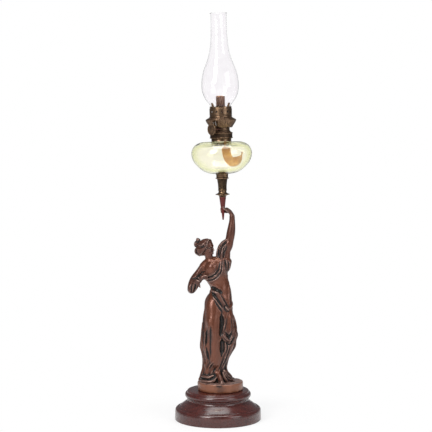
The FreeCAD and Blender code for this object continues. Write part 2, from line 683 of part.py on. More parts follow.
def add_prongs(gallery, wall, top):
    """Spring prongs that rise from the band and lean out along the glass."""
    tip = f"{top} + prong_rise"
    sketch = new_sketch(gallery, "prong_outline", "XZ_Plane")
    draw_outline(sketch, [
        (wall, f"{top} - 1.0"), ("gallery_radius", f"{top} - 1.0"), ("gallery_radius", f"{top} + 1.0"),
        ("gallery_radius + prong_reach", tip), (f"{wall} + prong_reach", f"{tip} + 0.2"),
        (wall, f"{top} + 1.2"),
    ])
    prong = gallery.newObject("PartDesign::Pad", "prong")
    prong.Profile = sketch
    prong.SideType = "Symmetric"
    prong.setExpression("Length", bind("prong_width"))
    doc.recompute()
    repeat_around(gallery, prong, "prongs")


def make_tubes():
    inner = "wick_tube_radius - tube_wall"
    on_lamp(turned("wick_tube", [
        (inner, "0"), ("wick_tube_radius", "0"), ("wick_tube_radius", "wick_tube_length + deck_thickness"),
        (inner, "wick_tube_length + deck_thickness"),
    ]), level=f"{DECK_TOP} - deck_thickness")
    draught = f"{WICK_INNER} - wick_play"
    length = "wick_tube_length - 3.0"
    tube = turned("draught_cylinder", [
        (f"{draught} - tube_wall", "0"), (draught, "0"), (draught, length),
        (f"{draught} - tube_wall", length),
    ])
    parts.remove(tube)
    # a web through the wick's open side carries the draught tube on the wick tube
    web = plain("Box", "draught_web", Length="web_thickness", Height="web_height",
                Width=f"{inner} - ({draught} - 0.5 * tube_wall) - 0.05")
    place(web, x="-web_thickness / 2", y=f"{draught} - 0.5 * tube_wall", z="1.0")
    part(on_lamp(fused("draught_tube", tube, web), level=f"{DECK_TOP} + 1.0"))


# ---------------------------------------------------------------------------------------------
# Wick, its winder and the chimney
# ---------------------------------------------------------------------------------------------

def make_wick():
    """The wick: a sleeve with an open side in the tubes, and a tail that curls along the font's floor."""
    foot = f"{DECK_TOP} - wick_skirt"
    sleeve = turned("wick_sleeve", [
        (WICK_INNER, foot), (WICK_OUTER, foot), (WICK_OUTER, f"{TUBE_TOP} + wick_stand"),
        (WICK_INNER, f"{TUBE_TOP} + wick_stand"),
    ])
    parts.remove(sleeve)
    slot = plain("Box", "wick_opening", Length="wick_slot", Width="2 * wick_tube_radius",
                 Height=f"{TUBE_TOP} + wick_stand")
    place(slot, x="-wick_slot / 2")
    sleeve = combined("Cut", "wick_open_sleeve", sleeve, slot)

    # the tail hangs from the sleeve, turns on the font's floor and rises beyond it
    floor = f"({FONT_BASE} + 1.2 * glass_wall + tail_floor)"
    far = f"({WICK_INNER} + tail_reach)"
    bend = "(tail_reach / 2)"
    tail = doc.addObject("PartDesign::Body", "wick_tail")
    sketch = new_sketch(tail, "tail_outline", "XZ_Plane")
    middle = f"({WICK_INNER} + {bend})"
    draw_outline(sketch, [
        (WICK_OUTER, f"{foot} + 1.0"), (WICK_INNER, f"{foot} + 1.0"), (WICK_INNER, f"{floor} + {bend}"),
        (middle, floor, 90), (far, f"{floor} + {bend}", 90), (far, f"{floor} + {bend} + tail_end"),
        (f"{far} - wick_thickness", f"{floor} + {bend} + tail_end"),
        (f"{far} - wick_thickness", f"{floor} + {bend}"),
        (middle, f"{floor} + wick_thickness", -90), (WICK_OUTER, f"{floor} + {bend}", -90),
    ])
    pad = tail.newObject("PartDesign::Pad", "tail_pad")
    pad.Profile = sketch
    pad.SideType = "Symmetric"
    pad.setExpression("Length", bind("tail_width"))
    doc.recompute()
    part(on_lamp(fused("wick", sleeve, tail)))


def along_shaft(obj, slide="0"):
    """Lays a piece that is turned about Z along the winder's shaft, and slides it outward."""
    text = (
        "create(<<placement>>; create(<<vector>>; tip_side; 0; tip_height);"
        " create(<<rotation>>; create(<<vector>>; 0; -1; 0); lamp_lean))"
        f" * create(<<placement>>; create(<<vector>>; 0; 0; {SHAFT_LEVEL});"
        " create(<<rotation>>; create(<<vector>>; 0; 0; 1); shaft_turn))"
        f" * create(<<placement>>; create(<<vector>>; {slide}; {SHAFT_OFFSET}; 0);"
        " create(<<rotation>>; create(<<vector>>; 0; 1; 0); 90))"
    )
    text = re.sub(r"<<(\w+)>>|\b(create)\b|\b([a-z][a-z_]+)\b", lamp_word, text)
    obj.setExpression("Placement", text)
    return obj


def make_winder():
    wall_face = f"sqrt((bowl_radius - sheet_metal)^2 - {SHAFT_OFFSET}^2)"
    hole = "shaft_radius + shaft_play"
    start = f"({wall_face} + 0.2)"
    along_shaft(turned("shaft_sleeve", [
        (hole, start), (f"{hole} + sleeve_wall", start),
        (f"{hole} + sleeve_wall", f"{start} + sleeve_length"),
        (hole, f"{start} + sleeve_length"),
    ]))
    length = "shaft_tail + shaft_reach - knob_thickness"
    shaft = plain("Cylinder", "wick_shaft", Radius="shaft_radius", Height=length)
    part(along_shaft(shaft, slide="-shaft_tail"))

    hub = "(shaft_reach - knob_hub)"
    face = "shaft_reach"
    knob = turned("wick_knob", [
        ("shaft_radius", hub), ("knob_hub_radius", hub), ("knob_hub_radius", f"{face} - knob_thickness"),
        ("knob_radius - knob_rim", f"{face} - knob_thickness"),
        ("knob_radius", f"{face} - knob_thickness / 2", 90),
        ("knob_radius - knob_rim", face, 90), ("knob_radius - 2 * knob_rim", f"{face} - 0.5"),
        ("0.3 * knob_radius", f"{face} - 0.5"), ("0.22 * knob_radius", face, 60), ("0", face),
        ("0", f"{face} - knob_thickness"), ("shaft_radius", f"{face} - knob_thickness"),
    ])
    along_shaft(knob)

    left = make_wheel("left_wheel", "-wheel_spread")
    right = make_wheel("right_wheel", "wheel_spread")
    part(along_shaft(fused("spur_wheels", left, right)))


def make_wheel(name, middle):
    """A toothed wheel on the shaft."""
    low = f"{middle} - wheel_width / 2"
    root = "wheel_radius - tooth_height"
    disc = plain("Cylinder", name + "_disc", Radius=root, Height="wheel_width")
    place(disc, z=low)
    bore = plain("Cylinder", name + "_bore", Radius="shaft_radius", Height="wheel_width")
    place(bore, z=low)
    teeth = []
    count = round(value("teeth"))
    start = value("shaft_radius + tooth_height / 2")
    for k in range(count):
        tooth = plain("Box", f"{name}_tooth_{k}", Length="wheel_radius - shaft_radius - tooth_height / 2",
                      Width="tooth_width", Height="wheel_width")
        turn = FreeCAD.Rotation(V(0, 0, 1), 360 * k / count)
        corner = turn.multVec(V(start, -value("tooth_width") / 2, value(low)))
        tooth.Placement = FreeCAD.Placement(corner, turn)
        teeth.append(tooth)
    return combined("Cut", name, fused(name + "_blank", disc, *teeth), bore)


def make_chimney():
    """Blown glass: a plain foot, a low belly, a long shoulder and a straight stack with a flared lip."""
    throat = "foot_height + throat_rise"
    belly = f"{throat} + belly_rise"
    shoulder = f"{belly} + shoulder_rise"
    stack = f"{shoulder} + stack_foot_rise"
    lip = f"{stack} + stack_height"
    top = f"{lip} + lip_height"
    on_lamp(turned("chimney", [
        ("foot_radius - chimney_wall", "0"), ("foot_radius", "0"), ("foot_radius", "foot_height"),
        ("throat_radius", throat, -42), ("belly_radius", belly, 40), ("shoulder_radius", shoulder, 27),
        ("stack_foot_radius", stack, -22), ("stack_radius", f"{stack} + 14.0"), ("stack_radius", lip),
        ("lip_radius", top, -24), ("lip_radius - chimney_wall", top, 170),
        ("stack_radius - chimney_wall", lip, 24), ("stack_radius - chimney_wall", f"{stack} + 14.0"),
        ("stack_foot_radius - chimney_wall", stack), ("shoulder_radius - chimney_wall", shoulder, 22),
        ("belly_radius - chimney_wall", belly, -27), ("throat_radius - chimney_wall", throat, -40),
        ("foot_radius - chimney_wall", "foot_height", 42),
    ]), level=SEAT)


# ---------------------------------------------------------------------------------------------
# The whole lamp
# ---------------------------------------------------------------------------------------------

def check():
    """Stops if any object failed, or a sub-part has no sound shape."""
    for obj in doc.Objects:
        if "Invalid" in obj.State or "Error" in obj.State:
            raise RuntimeError(f"{obj.Label} failed: {obj.State}")
    for obj in parts:
        if obj.Shape.isNull() or not obj.Shape.isValid() or not obj.Shape.Solids:
            raise RuntimeError(f"{obj.Label} has no sound shape")


make_socle()
torch_handle = make_torch()
make_figure(torch_handle)
make_font()
make_bowl()
make_basket()
make_gallery()
make_tubes()
make_wick()
make_winder()
make_chimney()
doc.recompute()
check()

os.makedirs("parts", exist_ok=True)
for obj in parts:
    obj.Shape.exportStep(f"parts/{obj.Label}.step")
    box = obj.Shape.BoundBox
    print(f"{obj.Label:16s} {obj.Shape.Volume / 1000:9.2f} cm3  {len(obj.Shape.Solids)} solids"
          f"  z {box.ZMin:.1f} to {box.ZMax:.1f}")
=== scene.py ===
"""The oil lamp dressed for viewing: turned wood, brass and glass, and the figure as a sculpted casting.

The frame is in metres. The turned pieces and the clay are worked in millimetres and scaled at the end.
The torch and everything above it share one leaning axis, LAMP, with levels counted from the torch's tip.
"""
import math

import bmesh
import bpy
import numpy as np
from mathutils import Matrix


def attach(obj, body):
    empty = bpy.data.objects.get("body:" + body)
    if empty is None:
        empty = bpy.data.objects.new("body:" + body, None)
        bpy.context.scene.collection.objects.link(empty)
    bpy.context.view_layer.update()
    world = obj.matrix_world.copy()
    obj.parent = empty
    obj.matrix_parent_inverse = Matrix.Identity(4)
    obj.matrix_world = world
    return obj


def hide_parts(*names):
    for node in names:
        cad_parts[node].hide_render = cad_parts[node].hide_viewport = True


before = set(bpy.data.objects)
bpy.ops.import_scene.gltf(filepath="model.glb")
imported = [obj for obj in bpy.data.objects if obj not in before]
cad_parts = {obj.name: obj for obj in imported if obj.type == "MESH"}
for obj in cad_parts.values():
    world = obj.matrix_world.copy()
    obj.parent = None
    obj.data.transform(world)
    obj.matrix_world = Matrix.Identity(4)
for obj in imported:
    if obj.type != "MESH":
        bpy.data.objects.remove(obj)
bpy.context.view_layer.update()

import openvdb
from mathutils import Matrix, Vector

MM = 0.001
TORCH_TIP = (10.6, 0.0, 413.3)
TORCH_LEAN = -1.33  # degrees from upright, towards the bent arm's side
LAMP = Matrix.Translation(TORCH_TIP) @ Matrix.Rotation(math.radians(TORCH_LEAN), 4, "Y")
LAMP_AXIS = np.array(LAMP.col[2][:3])
UPRIGHT = Matrix.Identity(4)
SCENE = bpy.context.scene


# ---------------------------------------------------------------------------------------------
# Nodes by short calls
# ---------------------------------------------------------------------------------------------

class Nodes:
    """A node tree under construction: nodes by short calls, with plain numbers set on their sockets."""

    def __init__(self, tree, family="ShaderNode"):
        self.tree = tree
        self.family = family

    def node(self, kind, settings=None, **inputs):
        """A node with its settings. Inputs go by name, or by number as i0, i1 and so on."""
        made = self.tree.nodes.new(self.family + kind)
        for name, setting in (settings or {}).items():
            setattr(made, name, setting)
        for name, feed in inputs.items():
            key = int(name[1:]) if name[0] == "i" and name[1:].isdigit() else name.replace("_", " ")
            socket = made.inputs[key]
            if isinstance(feed, bpy.types.NodeSocket):
                self.tree.links.new(feed, socket)
            else:
                socket.default_value = feed
        return made

    def feed(self, target, **sockets):
        """Links sockets to another node's inputs by name."""
        for name, socket in sockets.items():
            self.tree.links.new(socket, target.inputs[name.replace("_", " ")])

    def math(self, operation, a, b=0.0, clamp=False):
        return self.node("Math", {"operation": operation, "use_clamp": clamp}, i0=a, i1=b).outputs[0]

    def blend(self, factor, a, b):
        return self.node("Mix", {"data_type": "RGBA"}, i0=factor, i6=a, i7=b).outputs[2]

    def ramp(self, value, low, high, bottom=0.0, top=1.0, kind="LINEAR"):
        return self.node("MapRange", {"interpolation_type": kind}, Value=value, From_Min=low, From_Max=high,
                         To_Min=bottom, To_Max=top).outputs[0]

    def noise(self, place, scale, detail=3.0, rough=0.55, bend=0.0):
        return self.node("TexNoise", None, Vector=place, Scale=scale, Detail=detail, Roughness=rough,
                         Distortion=bend).outputs["Fac"]

    def place(self):
        return self.node("TexCoord").outputs["Object"]

    def mask(self, name):
        """A value that the piece's own mesh carries."""
        return self.node("Attribute", {"attribute_name": name}).outputs["Fac"]

    def bump(self, surface, height, strength, distance, inverted=False):
        raised = self.node("Bump", {"invert": inverted}, Height=height, Strength=strength, Distance=distance)
        self.feed(surface, Normal=raised.outputs[0])

    def seen_directly(self):
        """1 for rays from the camera, straight or through glass."""
        path = self.node("LightPath").outputs
        return self.math("MAXIMUM", path["Is Camera Ray"], path["Is Transmission Ray"])


def rgb(*values):
    """A colour given as it shows on a screen, as the linear one that a shader wants."""
    return tuple(((v / 255 + 0.055) / 1.055) ** 2.4 if v > 10 else v / 3294.6 for v in values) + (1.0,)


def new_material(name, **plain):
    """A Principled material with plain numbers set on its own sockets."""
    material = bpy.data.materials.new(name)
    material.use_nodes = True
    surface = material.node_tree.nodes["Principled BSDF"]
    for label, number in plain.items():
        surface.inputs[label.replace("_", " ")].default_value = number
    return material, Nodes(material.node_tree), surface


# ---------------------------------------------------------------------------------------------
# Camera, light and floor
# ---------------------------------------------------------------------------------------------

def add_camera():
    """A long lens at the burner's height, that looks slightly down."""
    pitch, yaw = 4.33, 0.085
    data = bpy.data.cameras.new("camera")
    data.lens = 112.4
    data.sensor_width = 36.0
    data.clip_end = 20.0
    camera = bpy.data.objects.new("camera", data)
    camera.location = (0.0, -2.757, 0.63)
    camera.rotation_euler = (math.radians(90 - pitch), 0.0, math.radians(yaw))
    SCENE.collection.objects.link(camera)
    SCENE.camera = camera


def add_lamp(name, place, target, size, power, colour=(1, 1, 1), glints=True):
    data = bpy.data.lights.new(name, "AREA")
    data.shape = "RECTANGLE"
    data.size, data.size_y = size
    data.energy = power
    data.color = colour
    lamp = bpy.data.objects.new(name, data)
    lamp.location = place
    lamp.rotation_euler = (Vector(target) - lamp.location).to_track_quat("-Z", "Y").to_euler()
    lamp.visible_transmission = lamp.visible_glossy = glints
    SCENE.collection.objects.link(lamp)


def add_world():
    """Soft, slightly blue room light on the lamp, and plain white where the world itself is seen."""
    world = bpy.data.worlds.new("studio")
    SCENE.world = world
    world.use_nodes = True
    s = Nodes(world.node_tree)
    room = s.tree.nodes["Background"]
    room.inputs["Color"].default_value = (0.93, 0.95, 1.0, 1)
    room.inputs["Strength"].default_value = 0.2
    bright = s.node("Background", None, Color=(1, 1, 1, 1), Strength=1.0)
    mix = s.node("MixShader", None, i0=s.seen_directly(), i1=room.outputs[0], i2=bright.outputs[0])
    s.feed(s.tree.nodes["World Output"], Surface=mix.outputs[0])


def add_floor():
    """White paper: clear away from the lamp, with a share of its own shading near the foot."""
    side, near, far, share_near = 3.0, 0.10, 0.30, 0.72
    mesh = bpy.data.meshes.new("floor")
    mesh.from_pydata([(-side, -side, 0), (side, -side, 0), (side, side, 0), (-side, side, 0)], [], [(0, 1, 2, 3)])
    floor = bpy.data.objects.new("floor", mesh)
    SCENE.collection.objects.link(floor)
    paper, s, surface = new_material("paper_floor", Base_Color=(0.9, 0.9, 0.9, 1), Roughness=0.75,
                                     Specular_IOR_Level=0.2)
    reach = s.node("VectorMath", {"operation": "LENGTH"}, i0=s.place()).outputs["Value"]
    share = s.math("MULTIPLY", s.seen_directly(), s.ramp(reach, near, far, share_near, 1.0, "SMOOTHSTEP"))
    glow = s.node("Emission")
    total = s.node("MixShader", None, i0=share, i1=surface.outputs[0], i2=glow.outputs[0])
    s.feed(s.tree.nodes["Material Output"], Surface=total.outputs[0])
    mesh.materials.append(paper)


def add_studio():
    add_world()
    add_floor()
    add_lamp("key", (-1.1, -1.6, 1.5), (0, 0, 0.35), (0.9, 1.5), 38, (1.0, 0.985, 0.97))
    add_lamp("fill", (1.5, -1.3, 1.1), (0, 0, 0.35), (1.0, 1.4), 13, (0.96, 0.98, 1.0))
    add_lamp("back", (0.5, 1.5, 1.6), (0, 0, 0.4), (1.2, 0.8), 8, glints=False)
    add_lamp("top", (0.0, -0.3, 2.3), (0, 0, 0.0), (1.5, 1.3), 26)


# ---------------------------------------------------------------------------------------------
# Materials: small shader groups that give masks and heights, and one material for each finish
# ---------------------------------------------------------------------------------------------

def new_group(name, inputs):
    """A shader group with named inputs, {name: (kind, value)}, that gives a colour, a roughness and a height."""
    tree = bpy.data.node_groups.new(name, "ShaderNodeTree")
    for label, (kind, value) in inputs.items():
        tree.interface.new_socket(label, in_out="INPUT", socket_type="NodeSocket" + kind).default_value = value
    for label, kind in (("Color", "Color"), ("Roughness", "Float"), ("Height", "Float")):
        tree.interface.new_socket(label, in_out="OUTPUT", socket_type="NodeSocket" + kind)
    given, out = tree.nodes.new("NodeGroupInput"), tree.nodes.new("NodeGroupOutput")
    return tree, Nodes(tree), given.outputs, out


def patina_group():
    """Patina: pale on high places, as rubbed wear and painted highlight, dark in hollows, as patina and painted
    shade, and cloudy between.
    """
    tree, s, given, out = new_group("patina", {
        "Body": ("Color", (0.2, 0.08, 0.05, 1)), "Warm": ("Color", (0.16, 0.04, 0.02, 1)),
        "Dark": ("Color", (0.02, 0.01, 0.008, 1)), "Rubbed": ("Color", (0.5, 0.36, 0.3, 1)),
        "Hollow": ("Float", 0.0), "Worn": ("Float", 0.0), "Calm": ("Float", 0.0), "Grain": ("Float", 1.0),
    })
    place = s.place()
    clouds = s.noise(place, 38.0, 4.0, 0.6, 0.4)
    fine = s.noise(place, 420.0, 4.0, 0.6)
    grit = s.noise(place, 1500.0, 2.0, 0.7)
    warm = s.math("ADD", s.math("MULTIPLY", s.ramp(clouds, 0.38, 0.66), 0.4), given["Calm"], clamp=True)
    body = s.blend(warm, given["Body"], given["Warm"])
    ragged = s.math("MULTIPLY", fine, 0.8)
    # painted shade: the hollow mask darkens the colour where the clay is shut in, on top of the patina in its
    # grooves
    grime_and_shade = s.ramp(s.math("ADD", given["Hollow"], s.math("MULTIPLY", ragged, 0.35)), 0.22, 0.95)
    soiled_and_shaded = s.blend(grime_and_shade, body, given["Dark"])
    # painted highlight: the ridge mask lays the pale colour on raised places, on top of rubbed wear
    rub_and_highlight = s.ramp(s.math("ADD", given["Worn"], s.math("MULTIPLY", ragged, 0.45)), 0.45, 1.35)
    rough = s.math("ADD", s.math("MULTIPLY", grime_and_shade, 0.3), s.math("MULTIPLY", grit, 0.22))
    rough = s.math("ADD", rough, s.math("MULTIPLY", rub_and_highlight, -0.06))
    height = s.math("ADD", s.math("MULTIPLY", fine, 0.7), s.math("MULTIPLY", grit, 0.3))
    s.feed(out, Color=s.blend(rub_and_highlight, soiled_and_shaded, given["Rubbed"]), Roughness=s.math("ADD", rough, 0.22),
           Height=s.math("MULTIPLY", height, given["Grain"]))
    return tree


def wood_group():
    """Turned, flat-sawn wood: long streaks across the disc, pores, and scuffs."""
    tree, s, given, out = new_group("turned_wood", {
        "Light": ("Color", (0.1, 0.035, 0.028, 1)), "Dark": ("Color", (0.03, 0.008, 0.008, 1)),
    })
    place = s.place()
    drawn = s.node("Mapping", None, Vector=place, Scale=(3.0, 45.0, 45.0)).outputs[0]
    bands = s.noise(drawn, 2.4, 5.0, 0.62, 1.1)
    pores = s.noise(s.node("Mapping", None, Vector=place, Scale=(30.0, 900.0, 900.0)).outputs[0], 1.0, 2.0, 0.6)
    clouds = s.noise(place, 16.0, 3.0, 0.6)
    streak = s.ramp(s.math("ADD", bands, s.math("MULTIPLY", pores, 0.12)), 0.3, 0.85)
    tone = s.math("MULTIPLY", streak, s.ramp(clouds, 0.25, 0.75, 0.6, 1.0))
    scuffs = s.ramp(s.noise(place, 75.0, 5.0, 0.7), 0.45, 0.75)
    s.feed(out, Color=s.blend(tone, given["Dark"], given["Light"]),
           Roughness=s.math("ADD", 0.24, s.math("MULTIPLY", scuffs, 0.16)),
           Height=s.math("ADD", s.math("MULTIPLY", pores, 0.5), s.math("MULTIPLY", clouds, 0.3)))
    return tree


def brass_group():
    """Aged brass: brown film, bright where rubbed, dark as grime and painted shade where the shade input marks it,
    pitted all over.
    """
    tree, s, given, out = new_group("aged_brass", {
        "Bright": ("Color", (0.4, 0.27, 0.14, 1)), "Film": ("Color", (0.12, 0.07, 0.04, 1)),
        "Dark": ("Color", (0.02, 0.012, 0.008, 1)), "Shelter": ("Float", 0.0),
    })
    place = s.place()
    clouds = s.noise(place, 70.0, 4.0, 0.6, 0.4)
    specks = s.noise(place, 900.0, 3.0, 0.6)
    film = s.ramp(s.math("ADD", clouds, s.math("MULTIPLY", specks, 0.3)), 0.38, 0.95)
    colour = s.blend(film, given["Bright"], given["Film"])
    # grime and painted shade: the bands and dimples that the shade input marks are darkened
    grime_and_shade = s.ramp(s.math("ADD", given["Shelter"], s.math("MULTIPLY", specks, 0.3)), 0.3, 1.0)
    rough = s.math("ADD", s.math("MULTIPLY", film, 0.18), s.math("MULTIPLY", grime_and_shade, 0.2))
    s.feed(out, Color=s.blend(grime_and_shade, colour, given["Dark"]), Roughness=s.math("ADD", rough, 0.24),
           Height=s.math("ADD", s.math("MULTIPLY", specks, 0.6), s.math("MULTIPLY", clouds, 0.4)))
    return tree


def finish_with(s, surface, group, bump, depth, **inputs):
    """Feeds colour, roughness and a bump from one of the shared groups to the surface."""
    made = s.node("Group", {"node_tree": group}, **inputs).outputs
    s.feed(surface, Base_Color=made["Color"], Roughness=made["Roughness"])
    s.bump(surface, made["Height"], bump, depth)


def build_materials():
    patina, wood, brass = patina_group(), wood_group(), brass_group()
    made = {}

    # the casting's colour holds painted light: pale on ridges as rubbed wear and painted highlight, dark in hollows
    # as patina and painted shade
    m, s, surface = new_material("bronzed_casting", Metallic=0.45, IOR=1.5, Coat_Weight=0.3, Coat_Roughness=0.22)
    finish_with(s, surface, patina, 0.16, 0.0006, Body=rgb(68, 42, 36), Warm=rgb(106, 60, 41), Dark=rgb(15, 9, 7),
                Rubbed=rgb(172, 138, 124), Hollow=s.mask("hollow"), Worn=s.mask("worn"), Calm=s.mask("calm"))
    made["bronzed_casting"] = m

    # painted highlight: the terrace's ground and rim are painted pale where they face up, as if lit from above, on
    # top of the ridges' rubbed wear and painted highlight
    m, s, surface = new_material("terrace_casting", Metallic=0.2, IOR=1.6, Coat_Weight=0.3, Coat_Roughness=0.3)
    level = s.node("SeparateXYZ", None, Vector=s.node("TexCoord").outputs["Normal"]).outputs["Z"]
    worn = s.math("ADD", s.mask("worn"), s.ramp(level, 0.75, 1.0))
    finish_with(s, surface, patina, 0.3, 0.0008, Body=rgb(130, 76, 46), Warm=rgb(112, 64, 40), Dark=rgb(40, 24, 18),
                Rubbed=rgb(134, 108, 100), Hollow=s.mask("hollow"), Worn=worn)
    made["terrace_casting"] = m

    m, s, surface = new_material("torch_enamel", Metallic=0.2, IOR=1.4, Coat_Weight=0.15, Coat_Roughness=0.2)
    finish_with(s, surface, patina, 0.1, 0.0004, Body=rgb(92, 26, 22), Warm=rgb(74, 16, 14), Dark=rgb(24, 8, 7),
                Rubbed=rgb(120, 60, 50), Grain=0.4)
    made["torch_enamel"] = m

    m, s, surface = new_material("socle_wood", Coat_Weight=0.5, Coat_Roughness=0.2, IOR=1.5)
    finish_with(s, surface, wood, 0.03, 0.0004, Light=rgb(92, 39, 32), Dark=rgb(50, 18, 16))
    made["socle_wood"] = m

    # the hollow mask here holds grime and painted shade in the grooves and under the beads
    m, s, surface = new_material("aged_brass", Metallic=0.92)
    finish_with(s, surface, brass, 0.2, 0.0003, Bright=rgb(148, 120, 94), Film=rgb(70, 52, 41),
                Dark=rgb(26, 17, 13), Shelter=s.mask("hollow"))
    made["aged_brass"] = m

    # the barrel is hammered: its dimples are sunk, and painted dark as grime and painted shade
    m, s, surface = new_material("barrel_brass", Metallic=0.9)
    cells = s.node("TexVoronoi", {"feature": "SMOOTH_F1", "voronoi_dimensions": "2D"},
                   Vector=s.node("UVMap").outputs[0], Scale=26.0).outputs["Distance"]
    finish_with(s, surface, brass, 0.2, 0.0003, Bright=rgb(112, 92, 70), Film=rgb(64, 50, 39),
                Dark=rgb(26, 18, 14), Shelter=s.ramp(cells, 0.15, 0.6))
    s.bump(surface, cells, 0.7, 0.0012, inverted=True)
    made["barrel_brass"] = m

    m, s, surface = new_material("tube_brass", Metallic=0.85)
    finish_with(s, surface, brass, 0.2, 0.0002, Bright=rgb(128, 92, 74), Film=rgb(84, 56, 46), Dark=rgb(30, 20, 16))
    made["tube_brass"] = m

    m, s, surface = new_material("steel", Metallic=1.0)
    finish_with(s, surface, brass, 0.2, 0.0002, Bright=rgb(150, 146, 140), Film=rgb(96, 92, 88),
                Dark=rgb(50, 46, 44))
    made["steel"] = m

    # glass: faint waves, and the font's yellow-green gathers where the wall is seen edge on
    m, s, surface = new_material("font_glass", Transmission_Weight=1.0, Metallic=0.0, IOR=1.5, Roughness=0.0)
    waves = s.noise(s.place(), 26.0, 2.0, 0.5)
    tone = s.blend(s.ramp(waves, 0.3, 0.7), rgb(253, 251, 240), rgb(251, 249, 233))
    facing = s.node("LayerWeight", None, Blend=0.5).outputs["Facing"]
    s.feed(surface, Base_Color=s.blend(s.ramp(facing, 0.35, 0.95), tone, rgb(226, 233, 150)))
    s.bump(surface, waves, 0.15, 0.002)
    made["font_glass"] = m

    m, s, surface = new_material("chimney_glass", Transmission_Weight=1.0, Metallic=0.0, IOR=1.32, Roughness=0.0)
    haze = s.ramp(s.noise(s.place(), 60.0, 4.0, 0.6), 0.35, 0.7)
    s.feed(surface, Base_Color=s.blend(haze, rgb(254, 253, 254), rgb(250, 248, 250)))
    s.bump(surface, s.noise(s.place(), 20.0, 2.0, 0.5), 0.08, 0.0015)
    made["chimney_glass"] = m

    m, s, surface = new_material("wick_cotton", Sheen_Weight=0.3, Sheen_Roughness=0.5, IOR=1.45)
    warp, weft = (s.node("TexWave", {"bands_direction": way}, Vector=s.node("UVMap").outputs[0],
                         Scale=320.0).outputs["Fac"] for way in "XY")
    cloth = s.math("MAXIMUM", warp, weft)
    stain = s.ramp(s.noise(s.place(), 60.0, 3.0, 0.6), 0.35, 0.65)
    tone = s.blend(stain, rgb(226, 178, 104), rgb(196, 140, 72))
    s.feed(surface, Base_Color=s.blend(s.ramp(cloth, 0.0, 0.6), rgb(150, 100, 52), tone),
           Roughness=s.ramp(cloth, 0.0, 1.0, 0.95, 0.75))
    s.bump(surface, cloth, 0.4, 0.0004)
    made["wick_cotton"] = m

    for name, light, dark, rough in (("plaster", rgb(222, 214, 192), rgb(180, 168, 140), 0.85),
                                     ("gasket_leather", rgb(96, 66, 44), rgb(58, 38, 26), 0.6)):
        m, s, surface = new_material(name, IOR=1.45)
        grain = s.noise(s.place(), 700.0, 4.0, 0.6)
        s.feed(surface, Base_Color=s.blend(s.ramp(grain, 0.35, 0.65), light, dark),
               Roughness=s.ramp(grain, 0.0, 1.0, rough - 0.1, rough + 0.1))
        s.bump(surface, grain, 0.4, 0.0003)
        made[name] = m
    return made


# ---------------------------------------------------------------------------------------------
# Turned pieces and rings
# ---------------------------------------------------------------------------------------------

def outline(points, fine=7.0):
    """A closed outline of (radius, level) points. A third number is the sweep in degrees of the arc that
    ends there; it bulges to the right of its way where it is above 0. Arcs have a point every `fine` degrees."""
    line = []
    for start, end in zip(points[-1:] + points[:-1], points):
        a, b = np.array(start[:2], float), np.array(end[:2], float)
        if len(end) == 3:
            sweep = math.radians(abs(end[2]))
            chord = b - a
            side = np.array((chord[1], -chord[0])) * math.copysign(1, end[2])
            radius = 0.5 / math.sin(sweep / 2)
            drop = 0.5 * math.tan(sweep / 4) - radius
            steps = max(2, int(math.ceil(math.degrees(sweep) / fine)))
            for k in range(1, steps):
                turn = sweep * (k / steps - 0.5)
                line.append(a + chord * (0.5 + radius * math.sin(turn)) + side * (drop + radius * math.cos(turn)))
        line.append(b)
    return [tuple(p) for p in line]


def link_mesh(name, mesh, material):
    obj = bpy.data.objects.new(name, mesh)
    SCENE.collection.objects.link(obj)
    mesh.materials.clear()
    mesh.materials.append(material)
    return obj


def lathe(name, points, material, place=LAMP, level=0.0, around=96, crease=32.0):
    """Turns a closed outline about the place's Z axis, with UVs in turns and centimetres of outline."""
    line = outline(points)
    mesh = bpy.data.meshes.new(name)
    bm = bmesh.new()
    uv = bm.loops.layers.uv.new("UVMap")
    turns = [2 * math.pi * k / around for k in range(around)]
    rings = []
    for radius, height in line:
        if radius < 1e-6:
            rings.append([bm.verts.new((0, 0, height + level))])
        else:
            rings.append([bm.verts.new((radius * math.cos(turn), radius * math.sin(turn), height + level))
                          for turn in turns])
    runs = [0.0]
    for (r0, h0), (r1, h1) in zip(line, line[1:] + line[:1]):
        runs.append(runs[-1] + math.hypot(r1 - r0, h1 - h0) / 10)
    for i, (low, high) in enumerate(zip(rings, rings[1:] + rings[:1])):
        if len(low) == 1 and len(high) == 1:
            continue
        for k in range(around):
            n = (k + 1) % around
            marks = ((k, runs[i]), (k + 1, runs[i]), (k + 1, runs[i + 1]), (k, runs[i + 1]))
            if len(low) == 1:
                corners, marks = (low[0], high[n], high[k]), (marks[0], marks[2], marks[3])
            elif len(high) == 1:
                corners, marks = (low[k], low[n], high[0]), (marks[0], marks[1], marks[2])
            else:
                corners = (low[k], low[n], high[n], high[k])
            face = bm.faces.new(corners)
            for loop, (turn, run) in zip(face.loops, marks):
                loop[uv].uv = (turn / around, run)
    bmesh.ops.recalc_face_normals(bm, faces=bm.faces)
    bm.transform(Matrix.Scale(MM, 4) @ place)
    bm.to_mesh(mesh)
    bm.free()
    return smooth(link_mesh(name, mesh, material), crease)


def smooth(obj, crease):
    """Smooth shading, but for edges sharper than `crease` degrees."""
    mesh = obj.data
    mesh.polygons.foreach_set("use_smooth", [True] * len(mesh.polygons))
    mesh.set_sharp_from_angle(angle=math.radians(crease))
    return obj


def paint_grime_and_shade(obj, *marks):
    """Writes grime and painted shade as the hollow mask, from (level, reach, amount) bands along the lamp's axis at
    grooves and under beads.
    """
    mesh = obj.data
    places = np.empty(len(mesh.vertices) * 3)
    mesh.vertices.foreach_get("co", places)
    levels = (places.reshape(-1, 3) / MM - np.array(LAMP.translation)) @ LAMP_AXIS
    dark = np.zeros(len(levels))
    for level, reach, amount in marks:
        dark = np.maximum(dark, amount * np.exp(-((levels - level) / reach) ** 2))
    mesh.attributes.new("hollow", "FLOAT", "POINT").data.foreach_set("value", dark)


